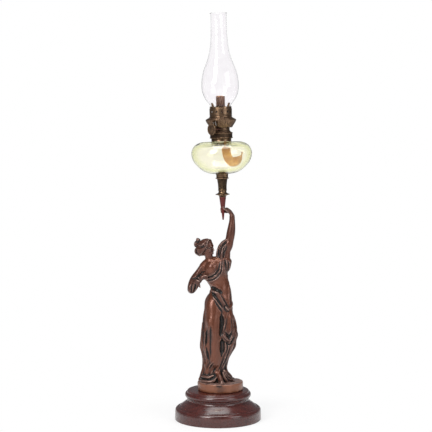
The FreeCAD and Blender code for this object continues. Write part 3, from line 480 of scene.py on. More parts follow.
def plate(name, corners, faces):
    """A hidden piece to be repeated: one mesh, in millimetres."""
    mesh = bpy.data.meshes.new(name)
    mesh.from_pydata(corners, [], faces)
    obj = bpy.data.objects.new(name, mesh)
    SCENE.collection.objects.link(obj)
    return obj


def ring_tree():
    """Repeats a piece evenly round the Z axis and joins what meets."""
    tree = bpy.data.node_groups.new("ring_of_pieces", "GeometryNodeTree")
    for label, kind in (("Piece", "Object"), ("Count", "Int"), ("First turn", "Float"), ("Material", "Material")):
        tree.interface.new_socket(label, in_out="INPUT", socket_type="NodeSocket" + kind)
    tree.interface.new_socket("Geometry", in_out="OUTPUT", socket_type="NodeSocketGeometry")
    given, out = tree.nodes.new("NodeGroupInput").outputs, tree.nodes.new("NodeGroupOutput")
    plain, shape = Nodes(tree), Nodes(tree, "GeometryNode")
    line = shape.node("MeshLine", None, Count=given["Count"], Offset=(0, 0, 0))
    piece = shape.node("ObjectInfo", None, Object=given["Piece"])
    share = plain.math("DIVIDE", shape.node("InputIndex").outputs[0], given["Count"])
    turn = plain.node("Math", {"operation": "MULTIPLY_ADD"}, i0=share, i1=2 * math.pi, i2=given["First turn"])
    about = plain.node("CombineXYZ", None, Z=turn.outputs[0])
    spread = shape.node("InstanceOnPoints", None, Points=line.outputs["Mesh"], Instance=piece.outputs["Geometry"],
                        Rotation=about.outputs[0])
    real = shape.node("RealizeInstances", None, i0=spread.outputs[0])
    weld = shape.node("MergeByDistance", None, Geometry=real.outputs[0], Distance=0.01)
    dressed = shape.node("SetMaterial", None, Geometry=weld.outputs[0], Material=given["Material"])
    shape.feed(out, Geometry=dressed.outputs[0])
    return tree


def ring_of(name, tree, piece, count, material, place=LAMP, level=0.0, first=0.0, thickness=0.0, crease=32.0):
    """The piece repeated round an axis by the tree, thickened if it is a sheet, and put in its place."""
    holder = bpy.data.objects.new(name + "_holder", bpy.data.meshes.new(name + "_holder"))
    SCENE.collection.objects.link(holder)
    modifier = holder.modifiers.new("ring", "NODES")
    modifier.node_group = tree
    sockets = {s.name: s.identifier for s in tree.interface.items_tree if s.in_out == "INPUT"}
    for label, value in {"Piece": piece, "Count": count, "First turn": math.radians(first),
                         "Material": material}.items():
        modifier[sockets[label]] = value
    if thickness:
        solid = holder.modifiers.new("sheet", "SOLIDIFY")
        solid.thickness = thickness
        solid.offset = -1.0
        solid.use_even_offset = True
    mesh = bpy.data.meshes.new_from_object(holder.evaluated_get(bpy.context.evaluated_depsgraph_get()))
    mesh.name = name
    for used in (holder, piece):
        bpy.data.objects.remove(used)
    mesh.transform(Matrix.Scale(MM, 4) @ place @ Matrix.Translation((0, 0, level)))
    return smooth(link_mesh(name, mesh, material), crease)


def pierced_strip(name, count, profile, hole, middle=0.5):
    """One segment of a turned sheet with a hole in it. `profile` gives radius and level for a share 0..1 of
    the way up; `hole` is the outline round the hole's middle as (share of a segment, share of the way up)."""
    wide = 2 * math.pi / count
    sides = len(hole)
    border = []
    for across, up in hole:
        # the point of the segment's edge that lies in the same direction from the hole's middle
        reach = 1.0 / max(abs(across) / 0.5, abs(up) / (middle if up < 0 else 1 - middle), 1e-9)
        border.append((across * reach, up * reach))
    for corner in ((-0.5, -middle), (0.5, -middle), (0.5, 1 - middle), (-0.5, 1 - middle)):
        nearest = min(range(sides), key=lambda k: math.dist(border[k], corner))
        border[nearest] = corner
    points, faces = [], []
    shares = (0.0, 0.12, 0.45, 1.0)
    for share in shares:
        for a, b in zip(hole, border):
            turn = ((1 - share) * a[0] + share * b[0]) * wide
            up = (1 - share) * a[1] + share * b[1] + middle
            radius, level = profile(min(max(up, 0.0), 1.0))
            points.append((radius * math.cos(turn), radius * math.sin(turn), level))
    for r in range(len(shares) - 1):
        for k in range(sides):
            n = (k + 1) % sides
            faces.append((r * sides + k, r * sides + n, (r + 1) * sides + n, (r + 1) * sides + k))
    return plate(name, points, faces)


def ellipse(across, up, sides=24, square=1.0):
    """A hole's outline; `square` under 1 makes it boxier."""
    points = []
    for k in range(sides):
        turn = 2 * math.pi * (k + 0.5) / sides
        c, s = math.cos(turn), math.sin(turn)
        points.append((across * math.copysign(abs(c) ** square, c), up * math.copysign(abs(s) ** square, s)))
    return points


# ---------------------------------------------------------------------------------------------
# Clay: sculpted forms as distances on a grid
# ---------------------------------------------------------------------------------------------

FAR = 60.0        # the distance that empty space starts with
START_OUT = 70.0  # how far in front of the figure a ray that looks for its surface starts
RAY = 130.0       # and how far it runs
# pulls on the mesh, in turn inward and outward, that take the grid's steps out and keep the clay's volume
PULLS = (0.5, 0.4, 0.5, -0.52, 0.5, -0.52)


def smooth_min(a, b, blend):
    """The smaller of two distances, rounded over `blend` where they meet."""
    if blend <= 0:
        return np.minimum(a, b)
    near = np.maximum(blend - np.abs(a - b), 0.0) / blend
    return np.minimum(a, b) - near * near * (0.25 * blend)


def ease(at, marks, values):
    """Smooth interpolation through values at rising marks."""
    slopes = np.gradient(values, marks)
    k = np.clip(np.searchsorted(marks, at) - 1, 0, len(marks) - 2)
    width = marks[k + 1] - marks[k]
    t = np.clip((at - marks[k]) / width, 0, 1)
    a, b, c, d = values[k], values[k + 1], slopes[k] * width, slopes[k + 1] * width
    return ((2 * t - 3) * t * t + 1) * a + (3 - 2 * t) * t * t * b + ((t - 2) * t + 1) * t * c + (t - 1) * t * t * d


def smooth_path(points, radii, steps):
    """Points and radii along a curve that passes through the given ones."""
    marks = np.arange(len(points), dtype=float)
    fine = np.linspace(0, len(points) - 1, (len(points) - 1) * steps + 1)
    curve = np.stack([ease(fine, marks, points[:, k]) for k in range(points.shape[1])], axis=1)
    return curve, ease(fine, marks, radii)


class Clay:
    """A block of clay: distances to its surface on a grid, in millimetres, negative inside."""

    def __init__(self, low, high, step):
        self.low = np.array(low, np.float32)
        self.step = step
        counts = [int(math.ceil((b - a) / step)) + 1 for a, b in zip(low, high)]
        self.distance = np.full(counts, FAR, np.float32)
        self.axes = [(a + step * np.arange(n)).astype(np.float32) for a, n in zip(low, counts)]

    def window(self, low, high):
        """The part of the grid between two corners, as slices and open coordinates."""
        part = []
        for axis in range(3):
            first = int(np.clip((low[axis] - self.low[axis]) // self.step, 0, self.distance.shape[axis]))
            last = int(np.clip((high[axis] - self.low[axis]) // self.step + 2, first, self.distance.shape[axis]))
            part.append(slice(first, last))
        grids = np.meshgrid(*[self.axes[k][s] for k, s in enumerate(part)], indexing="ij", sparse=True)
        return tuple(part), grids

    def merge(self, part, new, blend, carve):
        old = self.distance[part]
        self.distance[part] = -smooth_min(-old, new, blend) if carve else smooth_min(old, new, blend)

    def ball(self, middle, radii, blend=2.0, carve=False, turn=None):
        """An ellipsoid. `turn` is a matrix whose columns are the ellipsoid's own axes."""
        middle = np.array(middle, float)
        radii = np.array(radii if np.ndim(radii) else (radii,) * 3, float)
        reach = radii.max() + blend + 2 * self.step
        part, (x, y, z) = self.window(middle - reach, middle + reach)
        if 0 in self.distance[part].shape:
            return
        x, y, z = x - middle[0], y - middle[1], z - middle[2]
        if turn is not None:
            x, y, z = (x * turn[0][k] + y * turn[1][k] + z * turn[2][k] for k in range(3))
        near = np.sqrt((x / radii[0]) ** 2 + (y / radii[1]) ** 2 + (z / radii[2]) ** 2)
        slope = np.sqrt((x / radii[0] ** 2) ** 2 + (y / radii[1] ** 2) ** 2 + (z / radii[2] ** 2) ** 2)
        self.merge(part, near * (near - 1) / np.maximum(slope, 1e-6), blend, carve)

    def strand(self, points, radii, blend=2.0, carve=False, steps=6):
        """A round strand along a smooth curve through points, with a radius at each."""
        points = np.array(points, float)
        radii = np.array(radii if np.ndim(radii) else (radii,) * len(points), float)
        if len(points) > 2 and steps > 1:
            points, radii = smooth_path(points, radii, steps)
        margin = radii.max() + blend + 2 * self.step
        part, _ = self.window(points.min(0) - margin, points.max(0) + margin)
        own = np.full(self.distance[part].shape, FAR, np.float32)
        if 0 in own.shape:
            return
        corner = [s.start for s in part]
        for a, b, ra, rb in zip(points[:-1], points[1:], radii[:-1], radii[1:]):
            reach = max(ra, rb) + blend + 2 * self.step
            piece, (x, y, z) = self.window(np.minimum(a, b) - reach, np.maximum(a, b) + reach)
            local = tuple(slice(s.start - c, s.stop - c) for s, c in zip(piece, corner))
            if 0 in own[local].shape:
                continue
            way = b - a
            x, y, z = x - a[0], y - a[1], z - a[2]
            along = np.clip((x * way[0] + y * way[1] + z * way[2]) / max(float(way @ way), 1e-9), 0, 1)
            gap = np.sqrt((x - along * way[0]) ** 2 + (y - along * way[1]) ** 2 + (z - along * way[2]) ** 2)
            own[local] = np.minimum(own[local], gap - (ra + (rb - ra) * along))
        self.merge(part, own, blend, carve)

    def column(self, stations, folds, blend=2.0, rim=3.0):
        """A body of oval cross-sections: rows of height, left, right, front and back. `folds` gives how far
        the surface stands out at a turn and a height, and `rim` rounds the two ends."""
        rows = np.array(stations, float)
        low = (rows[:, 1].min() - 6, rows[:, 3].min() - 6, rows[0, 0] - 4)
        high = (rows[:, 2].max() + 6, rows[:, 4].max() + 6, rows[-1, 0] + 4)
        part, (x, y, z) = self.window(low, high)
        left, right, front, back = (ease(z, rows[:, 0], rows[:, k]) for k in (1, 2, 3, 4))
        wide, deep = (right - left) / 2, (back - front) / 2
        x, y = x - (left + right) / 2, y - (front + back) / 2
        near = np.sqrt((x / wide) ** 2 + (y / deep) ** 2)
        side = (near - 1) * np.minimum(wide, deep) - folds(np.arctan2(y / deep, x / wide), z)
        ends = np.maximum(rows[0, 0] - z, z - rows[-1, 0])
        self.merge(part, -smooth_min(-side, -ends, rim), blend, False)

    def touch(self, start, way):
        """Where a ray from outside meets the surface, or None."""
        trail = np.arange(0, RAY, 0.5 * self.step)[:, None] * way + start
        cell = np.round((trail - self.low) / self.step).astype(int)
        inside = np.all((cell >= 0) & (cell < self.distance.shape), axis=1)
        cell = np.clip(cell, 0, np.array(self.distance.shape) - 1)
        hit = inside & (self.distance[cell[:, 0], cell[:, 1], cell[:, 2]] < 0)
        return trail[np.argmax(hit)] if hit.any() else None

    def fold(self, marks, radii, blend=2.0, carve=False, sink=0.35, azimuth=0.0):
        """A fold that lies on the surface and runs out thin at both ends. Its marks are (across, height) as
        seen from an azimuth: 0 is the front, 90 the +X side, 180 the back. `sink` is how deep its middle
        lies, as a share of its radius."""
        turn = math.radians(azimuth)
        way = np.array((-math.sin(turn), math.cos(turn), 0.0))
        side = np.array((math.cos(turn), math.sin(turn), 0.0))
        radii = np.array(radii if np.ndim(radii) else (radii,) * len(marks), float)
        if len(marks) > 2:
            fine, sizes = smooth_path(np.array(marks, float), radii, 7)
        else:
            fine, sizes = np.linspace(marks[0], marks[-1], 9), np.linspace(radii[0], radii[-1], 9)
        points, kept = [], []
        for (across, height), radius in zip(fine, sizes):
            spot = self.touch(side * across - way * START_OUT + np.array((0, 0, height)), way)
            if spot is not None:
                points.append(spot + way * (radius * sink))
                kept.append(radius)
        if len(points) < 3:
            return
        points, kept = np.array(points), np.array(kept)
        for _ in range(3):
            points[1:-1] = 0.5 * points[1:-1] + 0.25 * (points[:-2] + points[2:])
        ends = np.minimum(np.arange(len(kept)), np.arange(len(kept))[::-1])
        self.strand(points, kept * np.minimum(1, ends / 5 + 0.2), blend, carve, steps=1)

    def ridges(self, blend, sink, *rows):
        """Raised folds, each as (marks, radii)."""
        for marks, radii in rows:
            self.fold(marks, radii, blend, sink=sink)

    def grooves(self, blend, sink, *rows):
        """Sunk folds, each as (marks, radii)."""
        for marks, radii in rows:
            self.fold(marks, radii, blend, carve=True, sink=sink)

    def roughen(self, height, scale, seed):
        """Uneven ground: slow random waves added to the whole surface."""
        rng = np.random.default_rng(seed)
        x, y, z = np.meshgrid(*self.axes, indexing="ij", sparse=True)
        for octave in range(4):
            for _ in range(3):
                way = rng.normal(size=3)
                way *= (2 ** octave) / (scale * np.linalg.norm(way))
                bend = rng.normal(size=3) * 0.6 / scale
                phase = rng.uniform(0, 2 * math.pi)
                warp = np.sin(x * bend[0] + y * bend[1] + z * bend[2] + phase) * 1.5
                wave = np.sin(2 * math.pi * (x * way[0] + y * way[1] + z * way[2]) + warp + phase)
                self.distance += (wave * height / (2.2 ** octave)).astype(np.float32)

    def object(self, name, material, copper=1.0):
        """The clay's surface as a shaded object in metres, with its masks. `copper` scales the calm one."""
        points, quads = self.skin()
        pairs = np.concatenate([quads[:, [0, 1]], quads[:, [1, 2]], quads[:, [2, 3]], quads[:, [3, 0]]])
        count = np.maximum(np.bincount(pairs.ravel(), minlength=len(points)), 1)[:, None]

        def average(values):
            """Each point's mean over the points that it shares an edge with."""
            total = np.zeros_like(values)
            for k in range(values.shape[1]):
                total[:, k] += np.bincount(pairs[:, 0], values[pairs[:, 1], k], len(values))
                total[:, k] += np.bincount(pairs[:, 1], values[pairs[:, 0], k], len(values))
            return total / count

        for pull in PULLS:
            points += pull * (average(points) - points)
        mesh = bpy.data.meshes.new(name)
        mesh.vertices.add(len(points))
        mesh.vertices.foreach_set("co", (points * MM).astype(np.float32).ravel())
        mesh.loops.add(len(quads) * 4)
        mesh.loops.foreach_set("vertex_index", quads.astype(np.int32).ravel())
        mesh.polygons.add(len(quads))
        mesh.polygons.foreach_set("loop_start", np.arange(0, len(quads) * 4, 4, dtype=np.int32))
        mesh.polygons.foreach_set("use_smooth", np.ones(len(quads), bool))
        mesh.update()
        normals = np.empty(len(points) * 3, np.float32)
        mesh.vertices.foreach_get("normal", normals)
        masks = self.masks(points, normals.reshape(-1, 3), average)
        masks["calm"] *= copper
        for label, values in masks.items():
            mesh.attributes.new(label, "FLOAT", "POINT").data.foreach_set("value", values)
        return link_mesh(name, mesh, material)

    def skin(self):
        """Points and four-sided faces of the surface, in millimetres."""
        grid = openvdb.FloatGrid(FAR)
        grid.copyFromArray(self.distance)
        grid.transform = openvdb.createLinearTransform(voxelSize=self.step)
        points, quads = grid.convertToQuads(isovalue=0.0)
        return (points + self.low).astype(np.float64), quads

    def masks(self, points, normals, average):
        """`hollow` where the surface is sunk, as patina, and where it is shut in, as painted shade; a ridge mask
        for rubbed wear and painted highlight; `calm` where it is plain.
        """
        bulge = np.zeros(len(points))
        eased, reach = points.copy(), 0
        # how far each point stands above its surroundings, first close by and then over a wider patch
        for rounds, weight in ((int(1.2 / self.step) + 1, 1.0), (int(9 / self.step ** 1.5) + 3, 0.5)):
            for _ in range(rounds):
                eased = average(eased)
            reach += rounds
            bulge += weight * np.einsum("ij,ij->i", eased - points, normals) / (self.step * math.sqrt(reach))
        # how much clay there is in front of each point, 3 and 7 mm out, for painted shade where the surface is shut
        # in
        closed = np.zeros(len(points))
        for gap in (3.0, 7.0):
            cell = np.round((points + normals * gap - self.low) / self.step).astype(int)
            cell = np.clip(cell, 0, np.array(self.distance.shape) - 1)
            closed += 0.5 * np.clip(1 - self.distance[cell[:, 0], cell[:, 1], cell[:, 2]] / gap, 0, 1)
        busy = np.abs(bulge)[:, None]
        for _ in range(60):
            busy = average(busy)
        low, high = np.percentile(busy, (25, 75))
        calm = np.clip((high - busy[:, 0]) / (high - low), 0, 1)
        # dark in the grooves as patina, with painted shade where the clay is shut in and a little over the busy
        # folds; pale on the ridges as rubbed wear and painted highlight
        hollow = np.clip(bulge * 4.0 + np.clip(closed - 0.08, 0, 1) * 1.3 + 0.2 * (1 - calm), 0, 1)
        return {"hollow": hollow, "worn": np.clip(-bulge * 3.0, 0, 1), "calm": calm}


# ---------------------------------------------------------------------------------------------
# The figure
# ---------------------------------------------------------------------------------------------

# The draped body's outline: height, left, right, front, back.
BODY = [
    (79.0, -36, 28, -25, 22), (88.0, -36.5, 27, -23, 21), (95.0, -34.5, 21, -20, 20), (104.0, -32, 17, -19, 19),
    (116.0, -30.5, 17, -19, 19), (128.0, -30.5, 20, -20, 20), (138.0, -32, 26, -21, 21),
    (150.0, -35, 33, -22, 23), (164.0, -35, 35, -23, 24), (174.0, -34.5, 38, -23, 25),
    (185.0, -33, 36, -23, 26), (198.0, -32, 33, -23, 26), (213.0, -30.5, 30, -23, 27),
    (230.0, -28.5, 28, -22, 28), (244.0, -27, 27.5, -20, 28), (256.0, -22, 28, -18, 26),
    (264.0, -17, 27.5, -17, 22), (272.0, -15.5, 26, -17, 19), (283.0, -21, 23, -18, 18),
    (292.0, -27, 21, -19, 18), (302.0, -30, 20, -20, 18), (312.0, -31, 21, -19, 18), (321.0, -31, 24, -16, 17),
    (328.0, -27, 26, -13, 15), (334.0, -18, 20, -9, 12), (338.0, -12, 12, -5, 8),
]


def skirt_folds(turn, z):
    """Long folds that hang from the hip: deep at the back and sides, shallow over the thighs in front."""
    front = np.clip(-np.sin(turn), 0, 1) ** 0.7
    low = np.clip((248 - z) / 60, 0, 1)
    drift = 0.55 * np.sin(0.021 * z + 1.3 * np.sin(turn + 0.4)) + 0.006 * (z - 80)
    deep = np.sin(11 * turn + 4 * drift) + 0.45 * np.sin(19 * turn - 5 * drift + 1.0)
    return (1.9 * low * (1 - 0.72 * front)) * deep


def shape_limbs(clay):
    """The body under the cloth: thighs, knees and shins, belly, ribs, breasts and shoulders."""
    clay.strand([(-6, -6, 241), (-11, -17, 205), (-8, -20.5, 168), (-7, -18, 120)], [14, 13, 9.5, 7.5], 7)
    clay.strand([(10, -1, 246), (15, -3, 205), (16, -2, 168), (9, 4, 118)], [15, 14.5, 14, 7], 9)
    clay.ball((-12, -13, 232), (11, 9, 19), 8)
    clay.ball((2, -4, 252), (18, 14.5, 13), 8)
    clay.ball((3.5, -6, 268), (13, 12, 13), 6)
    clay.ball((-12, 12, 241), (12, 13, 15), 8)
    clay.ball((13, 12, 246), (12, 13, 15), 8)
    clay.ball((-12.5, -13.0, 316.5), (10.2, 8.2, 10.5), 6)
    clay.ball((8.5, -12.5, 311), (8.8, 7.4, 8.8), 5)
    clay.strand([(-15, 2, 331), (-22, 1, 326), (-30, 1, 317)], [6.0, 7.5, 8.5], 5)
    clay.ball((15, 1, 328), (11.0, 10, 11), 7)
    clay.ball((-27, 0, 303), (10, 8, 12), 5)
    clay.strand([(-4, -9, 327), (-18, -6, 331)], [3.5, 4.0], 6)
    # the cloth bunched under the raised arm
    clay.ball((19.5, -2, 320), (7.0, 9.0, 12.5), 3)
    # hollow between the breasts, the belly's middle line and navel, and the small of the back
    clay.strand([(-2.5, -22, 318), (-1.5, -20, 305)], [2.4, 1.4], 5, carve=True)
    clay.strand([(5.0, -21.0, 288), (5.5, -19.8, 276), (5.5, -20, 264)], [1.2, 1.0, 1.4], 4.5, carve=True)
    clay.ball((6.0, -19.0, 266.5), (1.2, 1.4, 1.4), 1.4, carve=True)
    clay.strand([(1, 22, 312), (2, 21, 286), (2, 25, 262)], [1.4, 2.2, 1.6], 6, carve=True)


def drape_bodice(clay):
    """Cloth that falls from the shoulder, loops under the breasts and gathers at the bent arm."""
    clay.ridges(
        2.4, 0.4,
        ([(2.0, 332.1), (0.8, 321.8), (-3.3, 311.6), (-11.5, 303.8), (-21.7, 300.1), (-31.6, 303.0),
          (-39.8, 307.5)], 1.7),
        ([(7.0, 344.4), (6.6, 330.0), (5.3, 318.6), (1.2, 307.5), (-8.2, 297.2), (-19.7, 292.7), (-30.7, 295.2),
          (-37.7, 299.3)], 2.1),
        ([(10.7, 334.1), (11.1, 323.9), (9.0, 313.6), (5.3, 303.4), (-3.3, 293.6), (-15.2, 288.2), (-25.4, 290.3)],
         1.8),
        ([(13.1, 323.9), (13.5, 315.7), (13.9, 307.5), (16.4, 296.0)], 1.6),
        ([(23.4, 332.1), (23.8, 321.8), (22.1, 311.6)], 2.2),
        ([(17.2, 329.2), (18.4, 319.8), (18.4, 309.5)], 1.7),
        ([(-27.5, 303.4), (-34.0, 297.2), (-30.3, 291.1)], 2.0),
        ([(-15.6, 284.1), (-7.0, 279.6), (2.9, 279.2)], 2.4),
    )
    clay.grooves(
        1.2, -0.05,
        ([(3.9, 328.0), (1.8, 313.6), (-4.9, 304.2), (-15.6, 297.7), (-26.6, 298.1)], 1.2),
        ([(8.6, 330.0), (6.6, 309.5), (-1.2, 298.1), (-12.7, 291.1), (-23.8, 292.3)], 1.1),
        ([(14.8, 335.4), (15.2, 323.9), (16.4, 311.6), (16.0, 301.3)], 1.7),
        ([(20.9, 330.0), (21.1, 317.8), (20.1, 305.4)], 1.0),
        ([(-25.8, 308.7), (-31.6, 306.3), (-36.9, 304.2)], 1.0),
    )


def drape_waist(clay):
    """A deep crease over the hip, and the mantle's rolled edge across the thighs to a knot on the hip."""
    clay.ridges(
        2.6, 0.35,
        ([(-12.3, 269.4), (-5.3, 266.9), (2.9, 260.3), (10.2, 249.3), (16.4, 237.0)], [2.0, 3.0, 3.0, 2.8, 2.6]),
        ([(-11.1, 257.5), (-4.1, 248.0), (4.9, 236.6), (13.1, 227.5)], 2.2),
        ([(21.9, 289.0), (22.3, 272.6), (22.5, 254.2), (21.7, 237.8)], 1.7),
    )
    clay.grooves(
        2.6, -0.1,
        ([(-14.8, 275.1), (-7.4, 272.6), (2.0, 269.4), (9.0, 264.4)], [3.0, 3.4, 2.8, 1.6]),
        ([(-13.1, 264.0), (-6.6, 258.3), (1.6, 247.6), (8.6, 236.2)], [2.4, 2.2, 2.0, 1.8]),
        ([(7.0, 259.5), (14.3, 248.0), (18.9, 239.0)], 1.2),
        ([(26.0, 280.8), (26.6, 260.3), (25.8, 239.8)], 1.1),
        ([(-7.8, 250.9), (0.8, 237.8), (9.0, 224.7)], 1.3),
    )
    behind = [(22, -14, 233), (28, -2, 238), (24, 15, 246), (8, 26, 254), (-9, 24, 260), (-15, 12, 264),
              (-12, -4, 267)]
    clay.strand(behind, [2.4, 2.8, 3.0, 3.2, 3.0, 2.6, 2.0], 2.8)
    clay.strand([(a, b, c - 7) for a, b, c in behind[1:-1]], 2.0, 2.6)
    clay.ball((18.8, -18.0, 232.5), (4.4, 3.8, 4.6), 2.0)
    clay.strand([(15.5, -21.6, 236.4), (19, -22.3, 232.8), (21.8, -19, 229.4)], [1.2, 1.9, 1.2], 1.0)


def drape_mantle(clay):
    """The mantle's end over the thigh: a leaf-shaped panel with a rolled border that meets in a V."""
    clay.ridges(
        4.0, 0.55,
        ([(22.1, 223.4), (24.6, 207.0), (25.0, 190.6), (23.8, 176.3)], [3.0, 5.0, 5.4, 4.0]),
        ([(27.5, 223.4), (32.4, 207.0), (34.8, 188.6), (33.2, 170.1), (27.1, 151.7)], [2.4, 3.6, 4.2, 4.0, 3.0]),
        ([(25.4, 166.0), (21.7, 153.8), (19.3, 139.4)], [3.4, 3.4, 2.6]),
    )
    clay.grooves(
        2.0, 0.1,
        ([(7.0, 223.4), (8.2, 207.0), (7.4, 188.6), (6.6, 172.2)], [3.0, 4.6, 4.4, 3.6]),
        ([(7.8, 172.2), (9.2, 153.8), (7.4, 133.2)], [4.0, 5.6, 3.8]),
        ([(17.6, 217.3), (15.8, 200.9), (13.1, 184.5)], 1.2),
        ([(27.3, 211.1), (29.5, 198.8), (28.3, 186.5)], 1.3),
        ([(15.2, 184.5), (23.0, 174.2), (28.3, 185.7)], 2.4), ([(13.1, 165.2), (23.8, 157.8), (33.6, 172.2)], 1.6),
    )
    clay.ridges(
        1.4, 0.15,
        ([(20.5, 226.7), (16.0, 213.2), (13.7, 198.8), (8.6, 180.4), (4.9, 168.1)], [1.6, 2.1, 2.0, 1.9, 1.2]),
        ([(10.7, 219.3), (10.0, 200.9), (6.6, 184.5)], 1.0),
        ([(10.0, 179.6), (15.6, 172.2), (23.4, 166.3), (28.3, 173.4), (32.0, 185.3), (32.8, 196.8)],
         [1.5, 2.4, 2.8, 2.6, 2.2, 1.2]),
        ([(8.6, 164.8), (9.8, 154.6), (9.0, 143.5)], 1.4),
    )
    clay.ridges(
        2.2, 0.4,
        ([(30.3, 161.9), (24.2, 143.5), (16.0, 123.0), (7.0, 104.5)], [2.0, 2.7, 2.6, 1.8]),
        ([(18.9, 143.5), (11.1, 123.8), (2.0, 105.4)], [1.8, 2.3, 1.6]),
        ([(14.8, 162.8), (16.0, 149.6), (14.3, 137.3)], [1.4, 1.9, 1.4]),
        ([(17.6, 118.9), (16.4, 106.6), (13.5, 96.3)], 1.8),
    )
    clay.grooves(
        1.4, 0.0,
        ([(25.4, 153.8), (18.9, 134.1), (9.8, 114.0)], 1.4), ([(13.9, 132.4), (5.7, 113.6), (-0.4, 100.4)], 1.4),
        ([(18.0, 162.8), (19.3, 151.7), (16.8, 139.4)], 1.0), ([(18.4, 131.2), (15.2, 114.8), (11.5, 100.4)], 1.1),
    )


def drape_leg(clay):
    """Folds over the other leg: long ones at the side, slack diagonal ones over the shin."""
    clay.ridges(
        3.0, 0.5,
        ([(-25.0, 239.8), (-27.5, 213.2), (-27.3, 188.6), (-25.8, 168.1), (-24.6, 143.5)],
         [1.6, 3.0, 3.2, 3.0, 2.0]),
        ([(-18.0, 209.1), (-18.7, 186.5), (-19.7, 159.9), (-19.7, 135.3), (-16.8, 114.8)],
         [1.0, 2.2, 2.4, 2.3, 1.4]),
        ([(-31.6, 213.2), (-32.2, 184.5), (-31.4, 159.9), (-32.0, 139.4)], [1.4, 2.4, 2.6, 2.0]),
        ([(-28.3, 137.3), (-27.1, 118.9), (-23.8, 100.4)], [1.8, 2.2, 1.6]),
        ([(-7.0, 129.1), (-14.8, 115.6), (-23.0, 102.5)], 2.0),
        ([(-2.5, 118.9), (-9.0, 106.6), (-15.6, 95.1)], 1.8),
    )
    clay.grooves(
        1.8, 0.05,
        ([(-14.8, 198.8), (-15.4, 176.3), (-16.6, 153.8), (-15.2, 131.2)], [1.4, 2.0, 2.1, 2.0]),
        ([(-22.5, 192.7), (-23.2, 174.2), (-26.2, 151.7)], [1.2, 1.8, 1.4]),
        ([(-23.8, 151.7), (-21.3, 135.3), (-17.6, 118.9)], [1.4, 2.4, 1.6]),
        ([(-29.7, 221.4), (-30.1, 192.7), (-28.7, 172.2)], 1.2),
        ([(-10.7, 120.1), (-17.2, 109.1)], 1.4), ([(-3.7, 111.9), (-10.7, 100.4)], 1.7),
        ([(-25.8, 127.1), (-24.6, 112.7)], 1.2),
    )


def drape_back(clay):
    """Mantle folds across the back from shoulder blade to hip, and long folds below."""
    for marks, size in (
        ([(-22, 322), (-14, 306), (0, 290), (14, 276), (24, 262)], 2.2),
        ([(-14, 326), (-6, 310), (6, 296), (18, 284), (24, 276)], 2.0),
        ([(-28, 312), (-22, 296), (-8, 280), (6, 268), (18, 256)], 2.5),
        ([(-6, 330), (2, 318), (12, 306), (20, 298)], 1.7),
    ):
        clay.fold([(-a, b) for a, b in marks], size, 2.6, sink=0.45, azimuth=180)
    for across in (-23, -12, -1, 10, 21):
        bend = 3.0 * math.sin(across)
        path = [(across * 0.8, 244), (across + bend, 205), (across * 1.1 - bend * 0.6, 160),
                (6.5 + across * 0.8, 118), (4.5 + across * 1.1, 88)]
        clay.fold(path, [1.4, 3.0, 3.6, 3.4, 2.4], 3.4, sink=0.45, azimuth=180)
        clay.fold([(a + 5.5, b) for a, b in path], [0.8, 1.6, 2.0, 2.0, 1.4], 2.0, carve=True, sink=0.1,
                  azimuth=180)


def lay_hem(clay):
    """Cloth that runs out over the ground on both sides, and a foot in front."""
    clay.strand([(-37, -6, 82), (-31, -18, 82.5), (-19, -25.5, 82.5), (-9, -27, 84.5), (-3, -24, 91)],
                [2.6, 3.4, 3.3, 2.8, 1.8], 2.2)
    clay.strand([(-36, -2, 89), (-29, -15, 91), (-19, -22.5, 91), (-10, -24, 95)], [2.2, 3.0, 2.8, 1.6], 2.4)
    clay.strand([(-35.5, -12, 86.4), (-26, -22.5, 86.8), (-16, -27, 87), (-7, -27.5, 90)], 1.3, 1.6, carve=True)
    clay.strand([(-36.5, 6, 81), (-37, -6, 84)], [3.0, 3.0], 4)
    clay.strand([(29, -4, 82), (24.5, -12, 87), (18, -17, 94), (13, -18.5, 104)], [3.2, 3.4, 3.0, 2.0], 3.5)
    clay.strand([(27, 8, 82), (23.5, 0, 90), (17, -6, 99)], [3.2, 3.4, 3.0], 5)
    clay.strand([(27.5, -12.5, 86.5), (21, -18.5, 92), (15.5, -20.5, 101)], [1.3, 1.5, 1.1], 1.6, carve=True)
    clay.strand([(18, -18, 83), (14, -23, 90), (10.5, -23, 101)], [2.6, 2.8, 1.6], 2.5)
    clay.strand([(-24, 18, 82), (-8, 23, 83), (10, 23, 83), (24, 15, 82)], [3.0, 3.6, 3.6, 3.0], 5)
    clay.strand([(-1, -14, 98), (3, -23, 92), (6.5, -32, 86), (8, -38, 83.5)], [6.0, 5.4, 4.6, 3.4], 3)
    clay.strand([(4, -26, 84), (7.5, -36, 82.5)], [4.0, 3.6], 3)
    toes = ((11.6, -38.6, 2.0), (8.8, -40.8, 1.7), (6.4, -40.6, 1.55), (4.2, -39.4, 1.45), (2.2, -37.4, 1.35))
    for k, (x, y, size) in enumerate(toes):
        clay.strand([(x * 0.6 + 2.4, -33.5, 84.6 - 0.3 * k), (x, y, 82.2)], [size * 0.9, size], 0.9)


def make_body(material):
    """The draped body, built up in the order of the work."""
    clay = Clay((-60, -46, 76), (48, 40, 347), 0.85)
    clay.column(BODY, skirt_folds)
    for work in (shape_limbs, drape_bodice, drape_waist, drape_mantle, drape_leg, drape_back, lay_hem):
        work(clay)
    return clay.object("figure_body", material)


